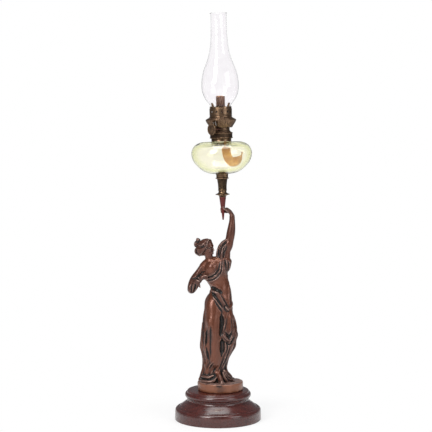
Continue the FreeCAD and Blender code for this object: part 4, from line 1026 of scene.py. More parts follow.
def make_head(material):
    """Head in its own frame: f towards the face, s to its left, u up, all sized by one factor."""
    clay = Clay((-56, -22, 322), (0, 22, 381), 0.38)
    yaw, nod, tilt = math.radians(-30), math.radians(4), math.radians(5)
    turn = (Matrix.Rotation(yaw, 3, "Z") @ Matrix.Rotation(-nod, 3, "Y") @ Matrix.Rotation(tilt, 3, "X"))
    middle = Vector((-21.5, -0.5, 357.4))
    grow = 1.16

    def at(f, s, u):
        return middle + grow * (turn @ Vector((f, s, u)))

    def ball(place, radii, blend=1.5, carve=False):
        clay.ball(at(*place), [grow * radius for radius in radii], blend, carve, turn)

    def strand(places, radii, blend=1.0, carve=False):
        clay.strand([at(*place) for place in places], [grow * radius for radius in radii], blend, carve)

    # skull, jaw and neck
    ball((-1.5, 0, 3.5), (12.0, 9.6, 10.6), 1)
    ball((2.6, 0, -3.6), (8.2, 7.6, 10.0), 4)
    ball((6.0, 0, -10.6), (3.6, 3.8, 3.2), 4)
    clay.strand([(-17.0, 1.5, 326), (-18.0, 1.5, 334), (-20.5, 1, 347)], [9.5, 8.2, 8.0], 3)
    clay.strand([(-12.5, -3.8, 331), (-15.5, -4.2, 339), (-20.0, -3.0, 348)], [1.8, 1.8, 1.8], 3.5)
    # face: brow, eyes, nose, mouth, chin and cheeks, on even, calm proportions
    for side in (-1, 1):
        ball((7.2, side * 3.9, -2.0), (3.0, 2.6, 2.2), 2.0, carve=True)
        ball((6.6, side * 3.8, -2.2), (2.5, 2.1, 1.7), 0.6)
        strand([(9.2, side * 1.9, -2.3), (9.6, side * 3.8, -2.7), (8.0, side * 5.9, -2.2)], [0.3, 0.42, 0.3], 0.4)
        strand([(9.7, side * 1.6, 0.9), (9.5, side * 4.0, 1.5), (7.2, side * 6.4, 0.4)], [0.55, 0.75, 0.5], 1.6)
        ball((6.6, side * 4.9, -5.6), (2.7, 2.5, 2.7), 2.5)
        strand([(10.0, side * 1.25, -6.0), (10.4, side * 1.0, -6.5)], [0.8, 0.75], 0.8)
        strand([(-1.4, side * 7.9, 0.0), (-2.4, side * 8.5, -2.4), (-1.5, side * 7.9, -5.0)], [1.2, 1.5, 0.9], 0.7)
    strand([(9.7, 0, 0.6), (10.9, 0, -3.2), (12.2, 0, -6.0)], [1.0, 0.95, 1.2], 1.3)
    ball((11.6, 0, -6.2), (1.1, 1.25, 0.9), 0.9)
    strand([(9.0, -2.6, -8.7), (10.6, 0, -8.35), (9.0, 2.6, -8.7)], [0.35, 0.75, 0.35], 0.7)
    strand([(8.9, -2.3, -9.5), (10.3, 0, -9.75), (8.9, 2.3, -9.5)], [0.35, 0.85, 0.35], 0.7)
    strand([(9.2, -2.9, -9.05), (11.2, 0, -9.05), (9.2, 2.9, -9.05)], [0.18, 0.2, 0.18], 0.25, carve=True)
    ball((8.8, 0, -12.0), (1.9, 2.2, 1.6), 1.8)

    # hair: soft waves swept back from the brow to a full roll at the nape, with a knot above it
    ball((-4.0, 0, 4.2), (12.0, 10.8, 10.6), 1.5)
    ball((-9.0, 0, -1.5), (11.5, 10.6, 12.0), 4)
    ball((-13.4, 0, -6.6), (8.4, 9.6, 8.8), 5)
    ball((-20.4, 0.4, 5.0), (5.4, 5.6, 5.4), 3)
    ball((-18.0, 0.8, 12.2), (3.8, 4.0, 3.8), 2)
    rng = np.random.default_rng(7)
    for lock in range(11):
        spread = (lock / 10 - 0.5) * 2
        lift = 13.2 - 2.2 * abs(spread)
        path = [(7.6 - 4.6 * abs(spread) ** 1.6, 9.8 * spread, 7.0 - 7.6 * abs(spread) ** 1.5),
                (2.4 - 3.0 * abs(spread), 10.4 * spread, lift - 4.2 * abs(spread)),
                (-5.4, 10.4 * spread, lift - 1.4 - 4.4 * abs(spread)),
                (-12.0, 7.4 * spread, 9.4 - 3.6 * abs(spread)), (-18.0, 4.0 * spread, 6.4)]
        path = [(f, s + 0.5 * math.sin(1.9 * k + lock), u + rng.uniform(-0.3, 0.3))
                for k, (f, s, u) in enumerate(path)]
        strand(path, [1.2, 1.9, 2.1, 1.8, 1.2], 1.1)
        strand([(f, s + 1.1, u + 0.4) for f, s, u in path], [0.5, 0.7, 0.8, 0.7, 0.4], 0.6)
    for side in (-1, 1):
        for k in range(4):
            strand([(5.0 - 2.2 * k, side * (7.4 + 0.9 * k), 4.4 - 2.2 * k),
                    (0.4 - 2.2 * k, side * (10.2 + 0.1 * k), 0.4 - 2.6 * k),
                    (-7.0 - 1.4 * k, side * (10.4 - 0.4 * k), -2.0 - 2.8 * k),
                    (-14.2, side * (8.9 - 0.7 * k), -2.6 - 2.9 * k),
                    (-19.8, side * (4.4 - 0.6 * k), -2.4 - 2.8 * k)],
                   [1.0, 1.8, 2.1, 1.9, 1.2], 1.2)
    for k in range(6):
        across = (k - 2.5) * 3.0
        strand([(-16.0, across * 0.9, 1.2), (-20.0, across, -2.8), (-20.4, across, -8.8),
                (-14.5, across * 0.9, -14.0)], [1.2, 2.1, 2.0, 1.3], 1.0)
    # coils over the two knots
    steps = 14
    for (f, s, u), size, thick, turns in (((-22.6, 0.4, 5.2), 4.9, 2.1, 1.8), ((-19.4, 0.8, 12.6), 3.0, 1.6, 1.4)):
        coil = []
        for k in range(steps + 1):
            angle = 2 * math.pi * turns * k / steps
            radius = size * (1 - 0.62 * k / steps)
            coil.append((f - 0.12 * k, s + radius * math.cos(angle), u + radius * math.sin(angle)))
        strand(coil, [thick * (1 - 0.35 * k / steps) for k in range(steps + 1)], 0.7)
    # a narrow band across the hair
    strand([(4.2, -9.6, 3.0), (5.2, -6.2, 10.6), (5.8, 0, 13.6), (5.2, 6.2, 10.6), (4.2, 9.6, 3.0)],
           [0.6, 0.8, 0.85, 0.8, 0.6], 0.4)
    return clay.object("figure_head_and_hair", material, 0.4)


def make_raised_arm(material):
    clay = Clay((-12, -18, 322), (42, 20, 445), 0.5)
    clay.strand([(14, 3, 333), (18.0, 2.5, 352), (23.6, 2.2, 371), (26.8, 1.8, 389), (28.8, 1.4, 408),
                 (28.9, 1, 420.5)],
                [11.0, 8.2, 8.7, 8.6, 6.4, 4.9], 3)
    clay.ball((22.0, 1.6, 361), (7.6, 7.6, 11), 5)
    clay.ball((13.0, 2.0, 358), (8.0, 5.6, 11), 4)
    # drapery that has slipped to the shoulder: it falls from the upper arm in long soft folds
    for side, reach in ((-1, 8.0), (1, 8.5)):
        clay.strand([(17, side * 5.0 + 2, 372.5), (9.0, side * 5.2 + 2, 365.6), (3.6, side * 4.6 + 2, 356),
                     (0.6, side * 4.6 + 1.5, 345), (0, side * 4.6 + 1, 334)], [1.6, 3.0, 3.8, 4.4, 4.6], 3)
        clay.strand([(22, side * 6.5 + 2, 367), (14.4, side * reach + 1.5, 360), (9.4, side * reach + 1, 350),
                     (7.4, side * reach, 340), (7, side * reach, 330)], [1.4, 2.8, 3.2, 3.4, 3.2], 2.4)
    clay.ball((5.5, 1.5, 350), (6.5, 6.0, 14), 4)
    clay.grooves(1.4, 0.05, ([(1.2, 356.7), (0.8, 346.4), (0.0, 334.1)], 1.9),
                 ([(13.5, 362.8), (11.1, 350.5), (12.1, 336.2)], 1.3), ([(6.1, 363.7), (3.7, 354.6)], 1.0))
    # hand: the wrist rises to the torch, the fingers close behind it and the thumb lies in front
    clay.strand([(29.0, 1, 418.6), (27.9, 1.0, 424.6), (23.4, 1.2, 430.8), (17.6, 1.6, 434.4)],
                [4.8, 4.2, 4.2, 4.4], 2.5)

    def by_torch(level, x, y):
        """A place beside the torch's axis, at a level above its tip."""
        return tuple(np.array(TORCH_TIP) + LAMP_AXIS * level + np.array((x, y, 0)))

    for k, size in enumerate((1.3, 1.4, 1.4, 1.3)):
        level = 15.6 + 2.6 * k
        # the handle's radius at this level, and half a millimetre more
        reach = 1.5 + 5.4 * level / 46.9 + 0.5
        path = [(19.6, 2.4, TORCH_TIP[2] + level - 0.4)]
        for angle in (52, 88, 124, 160, 192):
            turn = math.radians(angle)
            path.append(by_torch(level - 0.3, reach * math.cos(turn), reach * math.sin(turn)))
        clay.strand(path, [size * 1.3, size * 1.2, size * 1.1, size, size * 0.95, size * 0.8], 0.7)
    thumb = [(20.6, -1.6, 430.6), (16.8, -3.6, 433.4), by_torch(23.6, 1.6, -4.4), by_torch(27.4, 0.4, -4.8)]
    clay.strand(thumb, [2.4, 2.0, 1.6, 1.2], 1.2)
    return clay.object("raised_arm_and_hand", material, 0.5)


def make_bent_arm(material):
    clay = Clay((-72, -32, 250), (-14, 18, 338), 0.5)
    # sleeve from the shoulder to the elbow, and the forearm that comes back to the bodice
    clay.strand([(-27, 1, 320), (-37.5, 1.5, 304), (-47, 0.5, 289), (-51.5, 0, 277.5), (-54.5, 0, 269.5)],
                [8.6, 9.2, 10.8, 10.6, 8.4], 4)
    clay.strand([(-53, -2, 272), (-45, -9, 283), (-36, -14, 293), (-31, -15.5, 297)], [7.6, 6.6, 5.2, 4.2], 4)
    clay.ball((-30, -2, 299), (8, 8, 9), 4)
    clay.ridges(
        2.4, 0.5,
        ([(-32.0, 319.8), (-39.8, 307.5), (-46.3, 295.2)], 2.8),
        ([(-23.8, 308.3), (-29.9, 300.1), (-34.8, 291.9)], 2.3),
        ([(-57.4, 285.8), (-49.2, 289.9), (-40.2, 289.0), (-34.0, 286.2)], [1.4, 2.0, 2.0, 1.4]),
        ([(-55.8, 281.7), (-58.6, 272.6), (-55.8, 263.2)], 2.8),
        ([(-39.8, 284.9), (-42.2, 276.8), (-49.2, 265.7)], 2.2),
        ([(-49.2, 286.2), (-51.2, 275.9), (-51.7, 266.5)], 1.5),
    )
    clay.grooves(
        1.4, 0.05,
        ([(-26.6, 315.7), (-34.0, 303.4), (-39.4, 294.0)], 1.3),
        ([(-52.9, 284.1), (-54.1, 273.9), (-53.7, 265.3)], 1.3),
        ([(-45.1, 285.4), (-46.7, 275.5), (-49.2, 267.3)], 1.6),
        ([(-39.2, 280.0), (-43.0, 272.2)], 1.1),
        ([(-54.1, 292.3), (-45.1, 294.0), (-36.1, 290.7)], 1.2),
    )
    for across in (-6, 0, 6):
        clay.fold([(26 + across * 0.5, 318), (38 + across * 0.4, 300), (49 + across * 0.3, 280)], 1.8, 2.2,
                  sink=0.4, azimuth=180)
    # a gathered point of the sleeve, and the hand that holds the cloth
    clay.strand([(-41, -12, 284), (-38.5, -12.5, 279), (-36.6, -11, 275)], [3.4, 2.4, 0.9], 1.6)
    clay.strand([(-33, -15.5, 296), (-27.5, -17.5, 298.5)], [4.0, 3.6], 2)
    for k in range(4):
        clay.strand([(-28.5, -19.0, 301.2 - 2.2 * k), (-24.5, -20.4, 300.2 - 2.2 * k),
                     (-21.2, -19.4, 298.6 - 2.1 * k)],
                    [1.5, 1.4, 1.1], 0.7)
    return clay.object("bent_arm_and_sleeve", material, 0.3)


def make_terrace(material):
    """The cast drum: a rounded rim, a satin side and rough ground on top."""
    clay = Clay((-44, -49, 59.5), (54, 49, 84), 0.8)
    centre, radius, level, half, rim = 4.9, 46.9, 70.4, 9.3, 3.4
    x, y, z = np.meshgrid(*clay.axes, indexing="ij", sparse=True)
    side, top = np.sqrt((x - centre) ** 2 + y ** 2) - radius, np.abs(z - level) - half
    clay.distance = (-smooth_min(-side, -top, rim)).astype(np.float32)
    clay.roughen(0.10, 18.0, 3)
    rng = np.random.default_rng(11)
    for _ in range(130):
        turn, reach = rng.uniform(0, 2 * math.pi), 43 * math.sqrt(rng.uniform(0, 1))
        size = rng.uniform(2.5, 6.5)
        spot = (centre + reach * math.cos(turn), reach * math.sin(turn), 79.2 + rng.uniform(-0.9, 0.0))
        clay.ball(spot, (size, size * rng.uniform(0.6, 1.0), rng.uniform(0.7, 1.7)), 1.2,
                  carve=rng.uniform() < 0.35)
    return clay.object("terrace_casting", material)


# ---------------------------------------------------------------------------------------------
# The lamp's pieces
# ---------------------------------------------------------------------------------------------

def on(obj, body, slot, *nodes):
    """The piece moves with a body and stands for CAD nodes, which are hidden; `slot` is not used."""
    if nodes:
        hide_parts(*nodes)
    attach(obj, body)
    return obj


def dress_socle(mat):
    wood = mat["socle_wood"]
    lower = lathe("plinth_lower", [
        (16.0, 0), (87.4, 0), (88.5, 0.5, 40), (88.79, 1.6, 40), (88.79, 18.4), (88.6, 19.2, 30), (83.9, 25.7, 72),
        (82.5, 25.9), (82.3, 25.1), (81.0, 25.1), (80.8, 26.5), (79.6, 27.2, 50), (66.6, 37.4, 15), (66.2, 38.2),
        (63.5, 41.7, -48), (4.5, 41.7), (4.5, 13.0), (16.0, 13.0),
    ], wood, UPRIGHT, around=160)
    on(lower, "stand", "socle_wood", "lower_plinth")
    upper = lathe("plinth_upper", [
        (4.5, 0), (63.5, 0), (64.4, 2.6, -50), (64.9, 3.3), (64.9, 4.4), (65.4, 4.9, 60), (65.1, 15.8, 112),
        (64.1, 15.8), (63.9, 16.4), (63.8, 17.2), (61.9, 19.3, 78), (4.5, 19.3),
    ], wood, UPRIGHT, level=41.7, around=160)
    on(upper, "stand", "socle_wood", "upper_plinth")


def dress_torch(mat):
    handle = lathe("torch_cone", [
        (0, 0), (1.1, 0.3, 40), (1.55, 1.6, 40), (3.2, 17.0), (4.1, 24.0, 3), (6.5, 43.0), (6.9, 44.2, 40),
        (6.6, 45.0, 60), (6.9, 46.9), (2.5, 46.9), (2.5, 30.9), (0, 30.9),
    ], mat["torch_enamel"], around=64)
    on(handle, "stand", "torch_enamel", "torch_handle")
    flange = lathe("torch_dish", [
        (2.5, 0), (6.9, 0), (7.3, 0.9, 60), (6.9, 1.8, 60), (13.7, 4.7, -46), (14.35, 5.2, 40), (14.35, 6.1, 60),
        (13.2, 6.6, 40), (12.2, 6.6), (11.6, 7.3, 40), (10.2, 7.6), (8.0, 11.6, -58), (8.0, 13.0), (8.9, 13.5, 50),
        (9.3, 14.4, 60), (8.6, 15.4, 60), (2.5, 15.4),
    ], mat["aged_brass"], level=46.9, around=96)
    paint_grime_and_shade(flange, (48.6, 0.7, 0.8), (54.3, 0.9, 0.8), (59.6, 0.8, 0.9), (52.9, 0.4, 0.5))
    on(flange, "stand", "aged_brass", "torch_flange")
    barrel = lathe("torch_barrel_skin", [
        (7.5, 0), (8.6, 0), (10.3, 19.6, -12), (10.5, 20.0), (10.5, 21.2), (9.4, 21.2),
    ], mat["barrel_brass"], level=62.3, around=96)
    on(barrel, "stand", "aged_brass", "torch_barrel")
    cup = lathe("font_cup_skin", [
        (2.5, 0), (10.5, 0), (13.3, 1.2, -55), (13.8, 1.8, 50), (13.6, 2.6, 60), (12.2, 3.1, 40), (11.9, 4.2, -60),
        (12.1, 5.6), (12.5, 6.0, 50), (12.1, 6.6, 50), (12.2, 9.2, -12), (12.6, 9.8, 40), (12.6, 10.7, 40),
        (12.2, 11.0), (11.4, 11.0), (10.6, 4.6), (2.5, 4.6),
    ], mat["aged_brass"], level=83.5, around=96)
    paint_grime_and_shade(cup, (84.0, 0.6, 0.7), (87.3, 0.7, 0.9), (90.3, 0.5, 0.6), (92.4, 0.4, 0.5))
    on(cup, "stand", "aged_brass", "font_cup")


def dress_font(mat):
    font = lathe("glass_reservoir", [
        (0, -5.6), (8.0, -5.6), (8.0, 0.0), (12.0, 0.1), (20.0, 0.6, 8), (50.2, 17.0, 44), (61.9, 41.5, 46),
        (55.4, 57.8, 43), (40.0, 65.2, 30), (24.0, 65.6), (19.5, 65.9, -30), (18.0, 67.4, -40), (18.0, 73.5),
        (15.4, 73.5), (15.4, 64.8), (20.0, 62.9, 40), (39.3, 62.2), (53.2, 55.7, -25), (58.9, 41.5, -40),
        (48.0, 19.1, -44), (20.0, 3.9, -44), (0, 3.6),
    ], mat["font_glass"], level=94.5, around=160)
    on(font, "stand", "font_glass", "glass_font")
    collar = lathe("font_collar_skin", [
        (19.4, 0.4), (20.3, 0.4), (20.5, 1.2, 40), (20.3, 2.0, 40), (20.3, 5.4), (21.0, 6.2, -60), (23.0, 6.6, -30),
        (23.6, 7.4, 50), (23.3, 8.3, 40), (22.8, 8.8), (22.8, 15.9), (23.5, 16.4, 40), (23.6, 17.4, 40),
        (22.6, 18.6, 40), (21.4, 19.4), (15.8, 19.4), (15.8, 7.9), (19.4, 7.9),
    ], mat["aged_brass"], level=160.5, around=128)
    paint_grime_and_shade(collar, (166.3, 0.7, 0.9), (169.4, 0.5, 0.7), (176.3, 0.5, 0.6), (161.5, 0.6, 0.5))
    on(collar, "stand", "aged_brass", "font_collar")
    gasket = lathe("gasket_ring", [
        (16.0, 0), (19.7, 0), (20.0, 0.6, 90), (19.7, 1.2, 90), (16.0, 1.2),
    ], mat["gasket_leather"], level=179.9, around=96)
    on(gasket, "gasket", "gasket_leather", "collar_gasket")


DECK, GALLERY = 189.1, 212.0  # levels of the burner's deck, where the basket and the tube stand, and its gallery


def basket_profile(up):
    """The air basket's outer face: flares from the deck to its rim."""
    turn = up * math.pi / 2
    return 22.1 + 8.7 * (0.55 * up + 0.45 * math.sin(turn) ** 1.4), 0.2 + 15.2 * up


def dress_burner(mat, ring):
    brass = mat["aged_brass"]
    bowl = lathe("burner_bowl_skin", [
        (13.2, 0), (18.5, 0), (18.7, 0.5, 60), (18.5, 1.4, 60), (17.6, 2.0, -50), (17.6, 3.6), (18.0, 4.0, 60),
        (17.6, 4.4, 60), (17.6, 8.0), (21.3, 8.0), (21.5, 8.5, 60), (21.3, 9.0, 60), (9.25, 9.0), (9.25, 8.2),
        (16.8, 8.2), (16.8, 0.8), (13.2, 0.8),
    ], brass, level=181.1, around=128)
    paint_grime_and_shade(bowl, (183.0, 0.6, 0.8), (188.6, 0.7, 0.9))
    on(bowl, "burner", "aged_brass", "burner_bowl")

    slots = 35
    segment = pierced_strip("basket_segment", slots, basket_profile, ellipse(0.085, 0.36, square=0.6))
    lower = ring_of("air_basket_slots", ring, segment, slots, brass, level=DECK, thickness=0.6, crease=40.0)
    paint_grime_and_shade(lower, (189.5, 1.2, 0.7), (202.6, 0.8, 0.6))
    on(lower, "burner", "aged_brass", "air_basket")
    dome = lathe("air_basket_dome", [
        (30.3, 15.2), (30.8, 15.3), (31.0, 15.9, 60), (30.4, 16.7, 60), (28.8, 17.2), (28.4, 17.9, 50),
        (27.4, 18.3, 50), (24.3, 19.6, 18), (24.0, 20.6, 60), (22.8, 21.2, 60), (22.4, 22.8), (21.7, 22.8),
        (21.9, 20.6), (27.0, 17.4, -14), (29.2, 16.2),
    ], brass, level=DECK, around=128)
    paint_grime_and_shade(dome, (205.6, 0.5, 0.6), (209.2, 0.6, 0.7), (211.4, 0.5, 0.7))
    on(dome, "burner", "aged_brass")
    vents = ring_of("dome_vents", ring, plate("vent", *vent_piece()), 24, mat["tube_brass"], level=DECK,
                    first=7.5, crease=50.0)
    on(vents, "burner", "aged_brass")

    holes = 12
    band = pierced_strip("gallery_segment", holes, lambda up: (22.3, 3.2 + 11.6 * up), ellipse(0.18, 0.18))
    windows = ring_of("gallery_windows", ring, band, holes, brass, level=GALLERY, thickness=0.6, first=37.5,
                      crease=40.0)
    paint_grime_and_shade(windows, (215.8, 0.8, 0.6), (226.0, 0.8, 0.5))
    on(windows, "burner", "aged_brass", "chimney_gallery")
    foot = lathe("gallery_foot", [
        (21.7, -0.1), (22.9, -0.1), (23.2, 0.5, 60), (22.9, 1.2, 60), (22.3, 1.6, -40), (22.5, 2.6),
        (22.9, 3.0, 60), (22.3, 3.5, 60), (21.7, 3.4), (21.7, 2.7), (16.7, 2.7), (16.7, 2.1), (21.7, 2.1),
    ], brass, level=GALLERY, around=128)
    paint_grime_and_shade(foot, (213.8, 0.5, 0.8), (215.6, 0.4, 0.6))
    on(foot, "burner", "aged_brass")
    crown = lathe("gallery_crown", [
        (21.7, 14.7), (22.3, 14.6), (22.9, 15.1, 60), (22.3, 15.6, 60), (22.3, 17.6), (22.0, 17.9, 90),
        (21.7, 17.6, 90),
    ], brass, level=GALLERY, around=128)
    paint_grime_and_shade(crown, (226.4, 0.5, 0.6), (228.0, 0.4, 0.5))
    on(crown, "burner", "aged_brass")
    for name, piece, count, first in (("gallery_prongs", prong_piece(), 4, 45.0),
                                      ("crown_scallops", scallop_piece(), 20, 9.0)):
        row = ring_of(name, ring, plate(name, *piece), count, brass, level=GALLERY, first=first, crease=40.0)
        on(row, "burner", "aged_brass")

    tube = lathe("wick_tube_skin", [
        (8.7, 0), (9.2, 0), (9.2, 62.7), (9.1, 63.3, 60), (8.95, 63.6, 60), (8.7, 63.6),
    ], mat["tube_brass"], level=DECK, around=96)
    on(tube, "burner", "aged_brass", "wick_tube")


def vent_piece():
    """A raised round eyelet with a dark dimple, laid on the dome."""
    points, faces = [], []
    rings = ((1.25, 0.0), (1.15, 0.22), (0.75, 0.26), (0.6, 0.0), (0.3, -0.1))
    sides, slope = 12, math.radians(23)
    for size, rise in rings:
        for k in range(sides):
            turn = 2 * math.pi * k / sides
            across, up = size * math.cos(turn), size * math.sin(turn)
            points.append((25.9 - up * math.cos(slope) + rise * math.sin(slope), across,
                           19.0 + up * math.sin(slope) + rise * math.cos(slope)))
    for r in range(len(rings) - 1):
        for k in range(sides):
            n = (k + 1) % sides
            faces.append((r * sides + k, r * sides + n, (r + 1) * sides + n, (r + 1) * sides + k))
    faces.append(tuple(range(len(points) - sides, len(points))))
    return points, faces


def prong_piece():
    """A spring prong: rises from the band, leans out along the glass, and curls at its tip."""
    path = [(22.35, 15.0), (22.4, 17.0), (22.9, 19.4), (23.9, 22.4), (25.1, 25.4), (25.7, 26.6), (25.45, 27.0)]
    half = [2.6, 2.6, 2.5, 2.4, 2.3, 2.0, 1.3]
    shares = (-1.0, -0.5, 0.0, 0.5, 1.0)
    n = len(shares)
    points, faces = [], []
    for (radius, level), wide in zip(path, half):
        for inset in (0.0, 0.55):
            for share in shares:
                points.append((radius - inset - 0.05 * (share * wide) ** 2, share * wide, level))
    for a in range(0, len(points) - 2 * n, 2 * n):
        b = a + 2 * n
        for k in range(n - 1):
            faces.append((a + k, a + k + 1, b + k + 1, b + k))
            faces.append((a + n + k + 1, a + n + k, b + n + k, b + n + k + 1))
        faces.append((a + n, a, b, b + n))
        faces.append((a + n - 1, a + 2 * n - 1, b + 2 * n - 1, b + n - 1))
    for k in range(n - 1):
        faces.append((b + k, b + k + 1, b + n + k + 1, b + n + k))
        faces.append((k + 1, k, n + k, n + k + 1))
    return points, faces


def scallop_piece():
    """One small arch of the crown's edge."""
    points, faces = [], []
    steps, outer = 9, 22.3
    for k in range(steps):
        turn = math.pi * k / (steps - 1)
        for size in (0.0, 1.0):
            across = 3.3 * (0.5 + 0.5 * size) * math.cos(turn)
            up = 17.4 + (1.6 + 1.0 * size) * math.sin(turn) * (0.55 + 0.45 * size)
            angle = across / outer
            for radius in (outer, 21.75):
                points.append((radius * math.cos(angle), radius * math.sin(angle), up))
    for k in range(steps - 1):
        a, b = 4 * k, 4 * (k + 1)
        faces += [(a, b, b + 2, a + 2), (a + 3, b + 3, b + 1, a + 1),
                  (a + 2, b + 2, b + 3, a + 3), (a + 1, b + 1, b, a)]
    faces += [(0, 2, 3, 1), (4 * steps - 4, 4 * steps - 3, 4 * steps - 1, 4 * steps - 2)]
    return points, faces


def shaft_place():
    """The winder's axis as a matrix: its own Z runs outward along the shaft."""
    level, turn, aside = 185.9, 222.2, 11.7
    return (LAMP @ Matrix.Translation((0, 0, level)) @ Matrix.Rotation(math.radians(turn), 4, "Z")
            @ Matrix.Translation((0, aside, 0)) @ Matrix.Rotation(math.radians(90), 4, "Y"))


def dress_winder(mat, ring):
    place = shaft_place()
    knob = lathe("knob_disc", [
        (1.2, 33.0), (3.2, 33.0), (3.5, 33.6, 60), (3.4, 35.2), (4.4, 35.6, -40), (10.6, 35.5), (11.4, 35.9, 40),
        (11.5, 36.7, 30), (11.4, 37.5, 30), (10.6, 37.95, 40), (9.8, 37.5), (4.6, 37.4), (3.4, 37.7, 40),
        (2.4, 38.0, 30), (0, 38.0), (0, 35.4), (1.2, 35.4),
    ], mat["aged_brass"], place, around=96)
    paint_grime_and_shade(knob)
    on(knob, "winder", "aged_brass", "wick_knob")
    for name, piece, count, crease in (("knob_milling", tooth_piece(), 60, 30.0),
                                       ("knob_leaves", leaf_piece(), 10, 50.0)):
        row = ring_of(name, ring, plate(name, *piece), count, mat["aged_brass"], place, crease=crease)
        on(row, "winder", "aged_brass")


def tooth_piece():
    """One tooth of the milling round the knob's rim: a small wedge."""
    points = [(radius, across * half, level)
              for radius, half, low, high in ((11.2, 0.34, 35.9, 37.5), (11.95, 0.16, 36.1, 37.3))
              for across, level in ((-1, low), (1, low), (1, high), (-1, high))]
    return points, [(3, 2, 1, 0), (4, 5, 6, 7), (0, 1, 5, 4), (1, 2, 6, 5), (2, 3, 7, 6), (3, 0, 4, 7)]


def leaf_piece():
    """A plain raised petal on the knob's face."""
    middle, sides = 7.2, 14
    points = [(middle, 0, 37.95)]
    for k in range(sides):
        turn = 2 * math.pi * k / sides
        points.append((middle + 2.3 * math.cos(turn), (1.25 + 0.35 * math.cos(turn)) * math.sin(turn), 37.4))
    return points, [(0, 1 + k, 1 + (k + 1) % sides) for k in range(sides)]


def dress_chimney(mat):
    throat, belly, shoulder, stack, lip, top = 25.0, 58.5, 101.5, 153.0, 200.0, 205.5
    glass = lathe("chimney_blown", [
        (18.2, 0.4), (18.95, 0.0, 60), (19.7, 0.4, 60), (19.7, 13.2), (25.5, throat, -42), (38.0, belly, 40),
        (28.7, shoulder, 27), (17.2, stack, -22), (16.2, stack + 14.0), (16.2, lip), (17.6, top, -24),
        (16.85, top + 0.45, 90), (16.1, top, 80), (14.7, lip, 24), (14.7, stack + 14.0), (15.7, stack),
        (27.2, shoulder, 22), (36.5, belly, -27), (24.0, throat, -40), (18.2, 13.2, 42),
    ], mat["chimney_glass"], level=214.7, around=128)
    on(glass, "chimney", "chimney_glass", "chimney")


WICK_THICK = 1.9
RIBBON_WIDE = 18.0
WICK_CELLS = 12  # faces across the wick's width


def wick_rows(bm):
    """The wick's rows of points from top to tail: each has the outer face's 13 points, then the inner's."""
    rows = []
    sleeve_radius, wrap = 7.42, 0.91
    for level in np.linspace(253.6, 178.0, 20):
        row = []
        for side in (0.5, -0.5):
            for k in range(WICK_CELLS + 1):
                turn = (k / WICK_CELLS - 0.5) * 2 * math.pi * wrap - math.pi / 2
                radius = sleeve_radius + side * WICK_THICK
                row.append((radius * math.cos(turn), radius * math.sin(turn), level))
        rows.append(row)
    # the ribbon's middle and the way its width lies: it sinks, turns its face to the front and curls up
    path = np.array([
        (7.4, 0, 176, 0, 1, 0), (7.4, 0, 168, 0, 1, 0), (7.4, 0, 157, 0.05, 1, 0), (9.0, -0.8, 146, 0.95, 0.35, 0),
        (10.2, -1.2, 138, 1, 0.1, 0.05), (12.2, -1.4, 128.5, 0.93, 0, 0.35), (16.8, -1.2, 121, 0.6, 0, 0.8),
        (23.6, -0.4, 118.5, 0.1, 0.1, 1), (31, 0, 120.5, -0.3, 0.45, 0.8), (37.2, 0, 125.5, -0.3, 0.85, 0.3),
        (40.6, 0, 131, 0, 1, 0), (41.6, 0, 135.5, 0, 1, 0), (41.6, 0, 139.5, 0, 1, 0),
    ], float)
    curve, _ = smooth_path(path[:, :3], path[:, 0], 5)
    widths, _ = smooth_path(path[:, 3:], path[:, 0], 5)
    for k, (place, wide) in enumerate(zip(curve, widths)):
        way = Vector(curve[min(k + 1, len(curve) - 1)] - curve[max(k - 1, 0)]).normalized()
        across = Vector(wide)
        across = (across - way * across.dot(way)).normalized()
        face = way.cross(across)
        rows.append([Vector(place) + across * (RIBBON_WIDE * (n / WICK_CELLS - 0.5)) + face * (side * WICK_THICK)
                     for side in (0.5, -0.5) for n in range(WICK_CELLS + 1)])
    return [[bm.verts.new(point) for point in row] for row in rows]


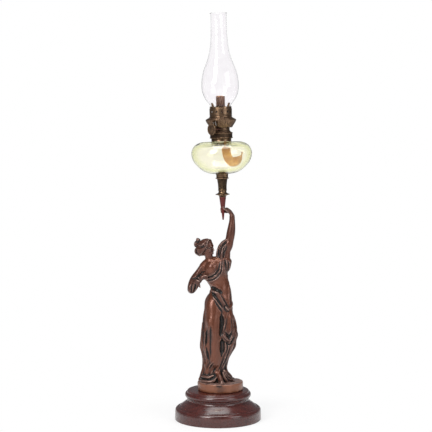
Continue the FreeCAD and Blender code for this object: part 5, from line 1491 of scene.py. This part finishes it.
def dress_wick(mat):
    """The wick: a sleeve with an open side in the tube, and a ribbon that curls through the font."""
    mesh = bpy.data.meshes.new("wick_ribbon")
    bm = bmesh.new()
    uv = bm.loops.layers.uv.new("UVMap")
    rows = wick_rows(bm)
    last, inner = WICK_CELLS, WICK_CELLS + 1
    runs = [0.0]
    for a, b in zip(rows, rows[1:]):
        runs.append(runs[-1] + (a[last // 2].co - b[last // 2].co).length / 10)

    def add_face(corners, k, low, high, flip=False):
        """A face of the k-th cell across, with its UVs in centimetres."""
        left, right = k / WICK_CELLS * (RIBBON_WIDE / 10), (k + 1) / WICK_CELLS * (RIBBON_WIDE / 10)
        marks = [(left, low), (right, low), (right, high), (left, high)]
        if flip:
            corners, marks = corners[::-1], marks[::-1]
        for loop, mark in zip(bm.faces.new(corners).loops, marks):
            loop[uv].uv = mark

    for j, (low, high) in enumerate(zip(rows, rows[1:])):
        for k in range(WICK_CELLS):
            for side in (0, inner):
                corners = (low[side + k], low[side + k + 1], high[side + k + 1], high[side + k])
                add_face(corners, k, runs[j], runs[j + 1], side > 0)
        add_face((low[inner], low[0], high[0], high[inner]), 0, runs[j], runs[j + 1])
        add_face((low[last], low[inner + last], high[inner + last], high[last]), last, runs[j], runs[j + 1])
    for end, flip in ((rows[0], True), (rows[-1], False)):
        for k in range(WICK_CELLS):
            add_face((end[k], end[k + 1], end[inner + k + 1], end[inner + k]), k, 0.0, 0.2, flip)
    bmesh.ops.recalc_face_normals(bm, faces=bm.faces)
    area = sum(face.calc_area() for face in bm.faces) / 2
    bm.transform(Matrix.Scale(MM, 4) @ LAMP)
    bm.to_mesh(mesh)
    bm.free()
    wick = smooth(link_mesh("wick_ribbon", mesh, mat["wick_cotton"]), 40.0)
    on(wick, "wick", "wick_cotton", "wick")


def finish_nodes(mat):
    """Gives the pieces that are shown as they are packed their materials."""
    for node, name in {
        "tie_rod": "steel", "tie_washer": "steel", "tie_nut": "steel", "torch_link": "steel",
        "peg_plaster": "plaster", "collar_plaster": "plaster",
        "burner_thread": "aged_brass", "draught_tube": "tube_brass",
        "shaft_sleeve": "tube_brass", "wick_shaft": "tube_brass", "spur_wheels": "tube_brass",
    }.items():
        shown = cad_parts[node].data.materials
        if not shown:
            shown.append(mat[name])
        for k in range(len(shown)):
            shown[k] = mat[name]


add_camera()
add_studio()
materials = build_materials()
ring = ring_tree()
dress_socle(materials)
dress_torch(materials)
dress_font(materials)
dress_burner(materials, ring)
dress_winder(materials, ring)
dress_chimney(materials)
dress_wick(materials)
on(make_terrace(materials["terrace_casting"]), "stand", "bronzed_casting", "terrace")
casting = materials["bronzed_casting"]
on(make_body(casting), "stand", "bronzed_casting", "figure_skirt", "figure_torso")
on(make_head(casting), "stand", "bronzed_casting", "figure_head")
on(make_raised_arm(casting), "stand", "bronzed_casting", "raised_arm")
on(make_bent_arm(casting), "stand", "bronzed_casting", "bent_arm")
finish_nodes(materials)

SCENE.view_settings.view_transform = "Standard"
bpy.context.view_layer.update()
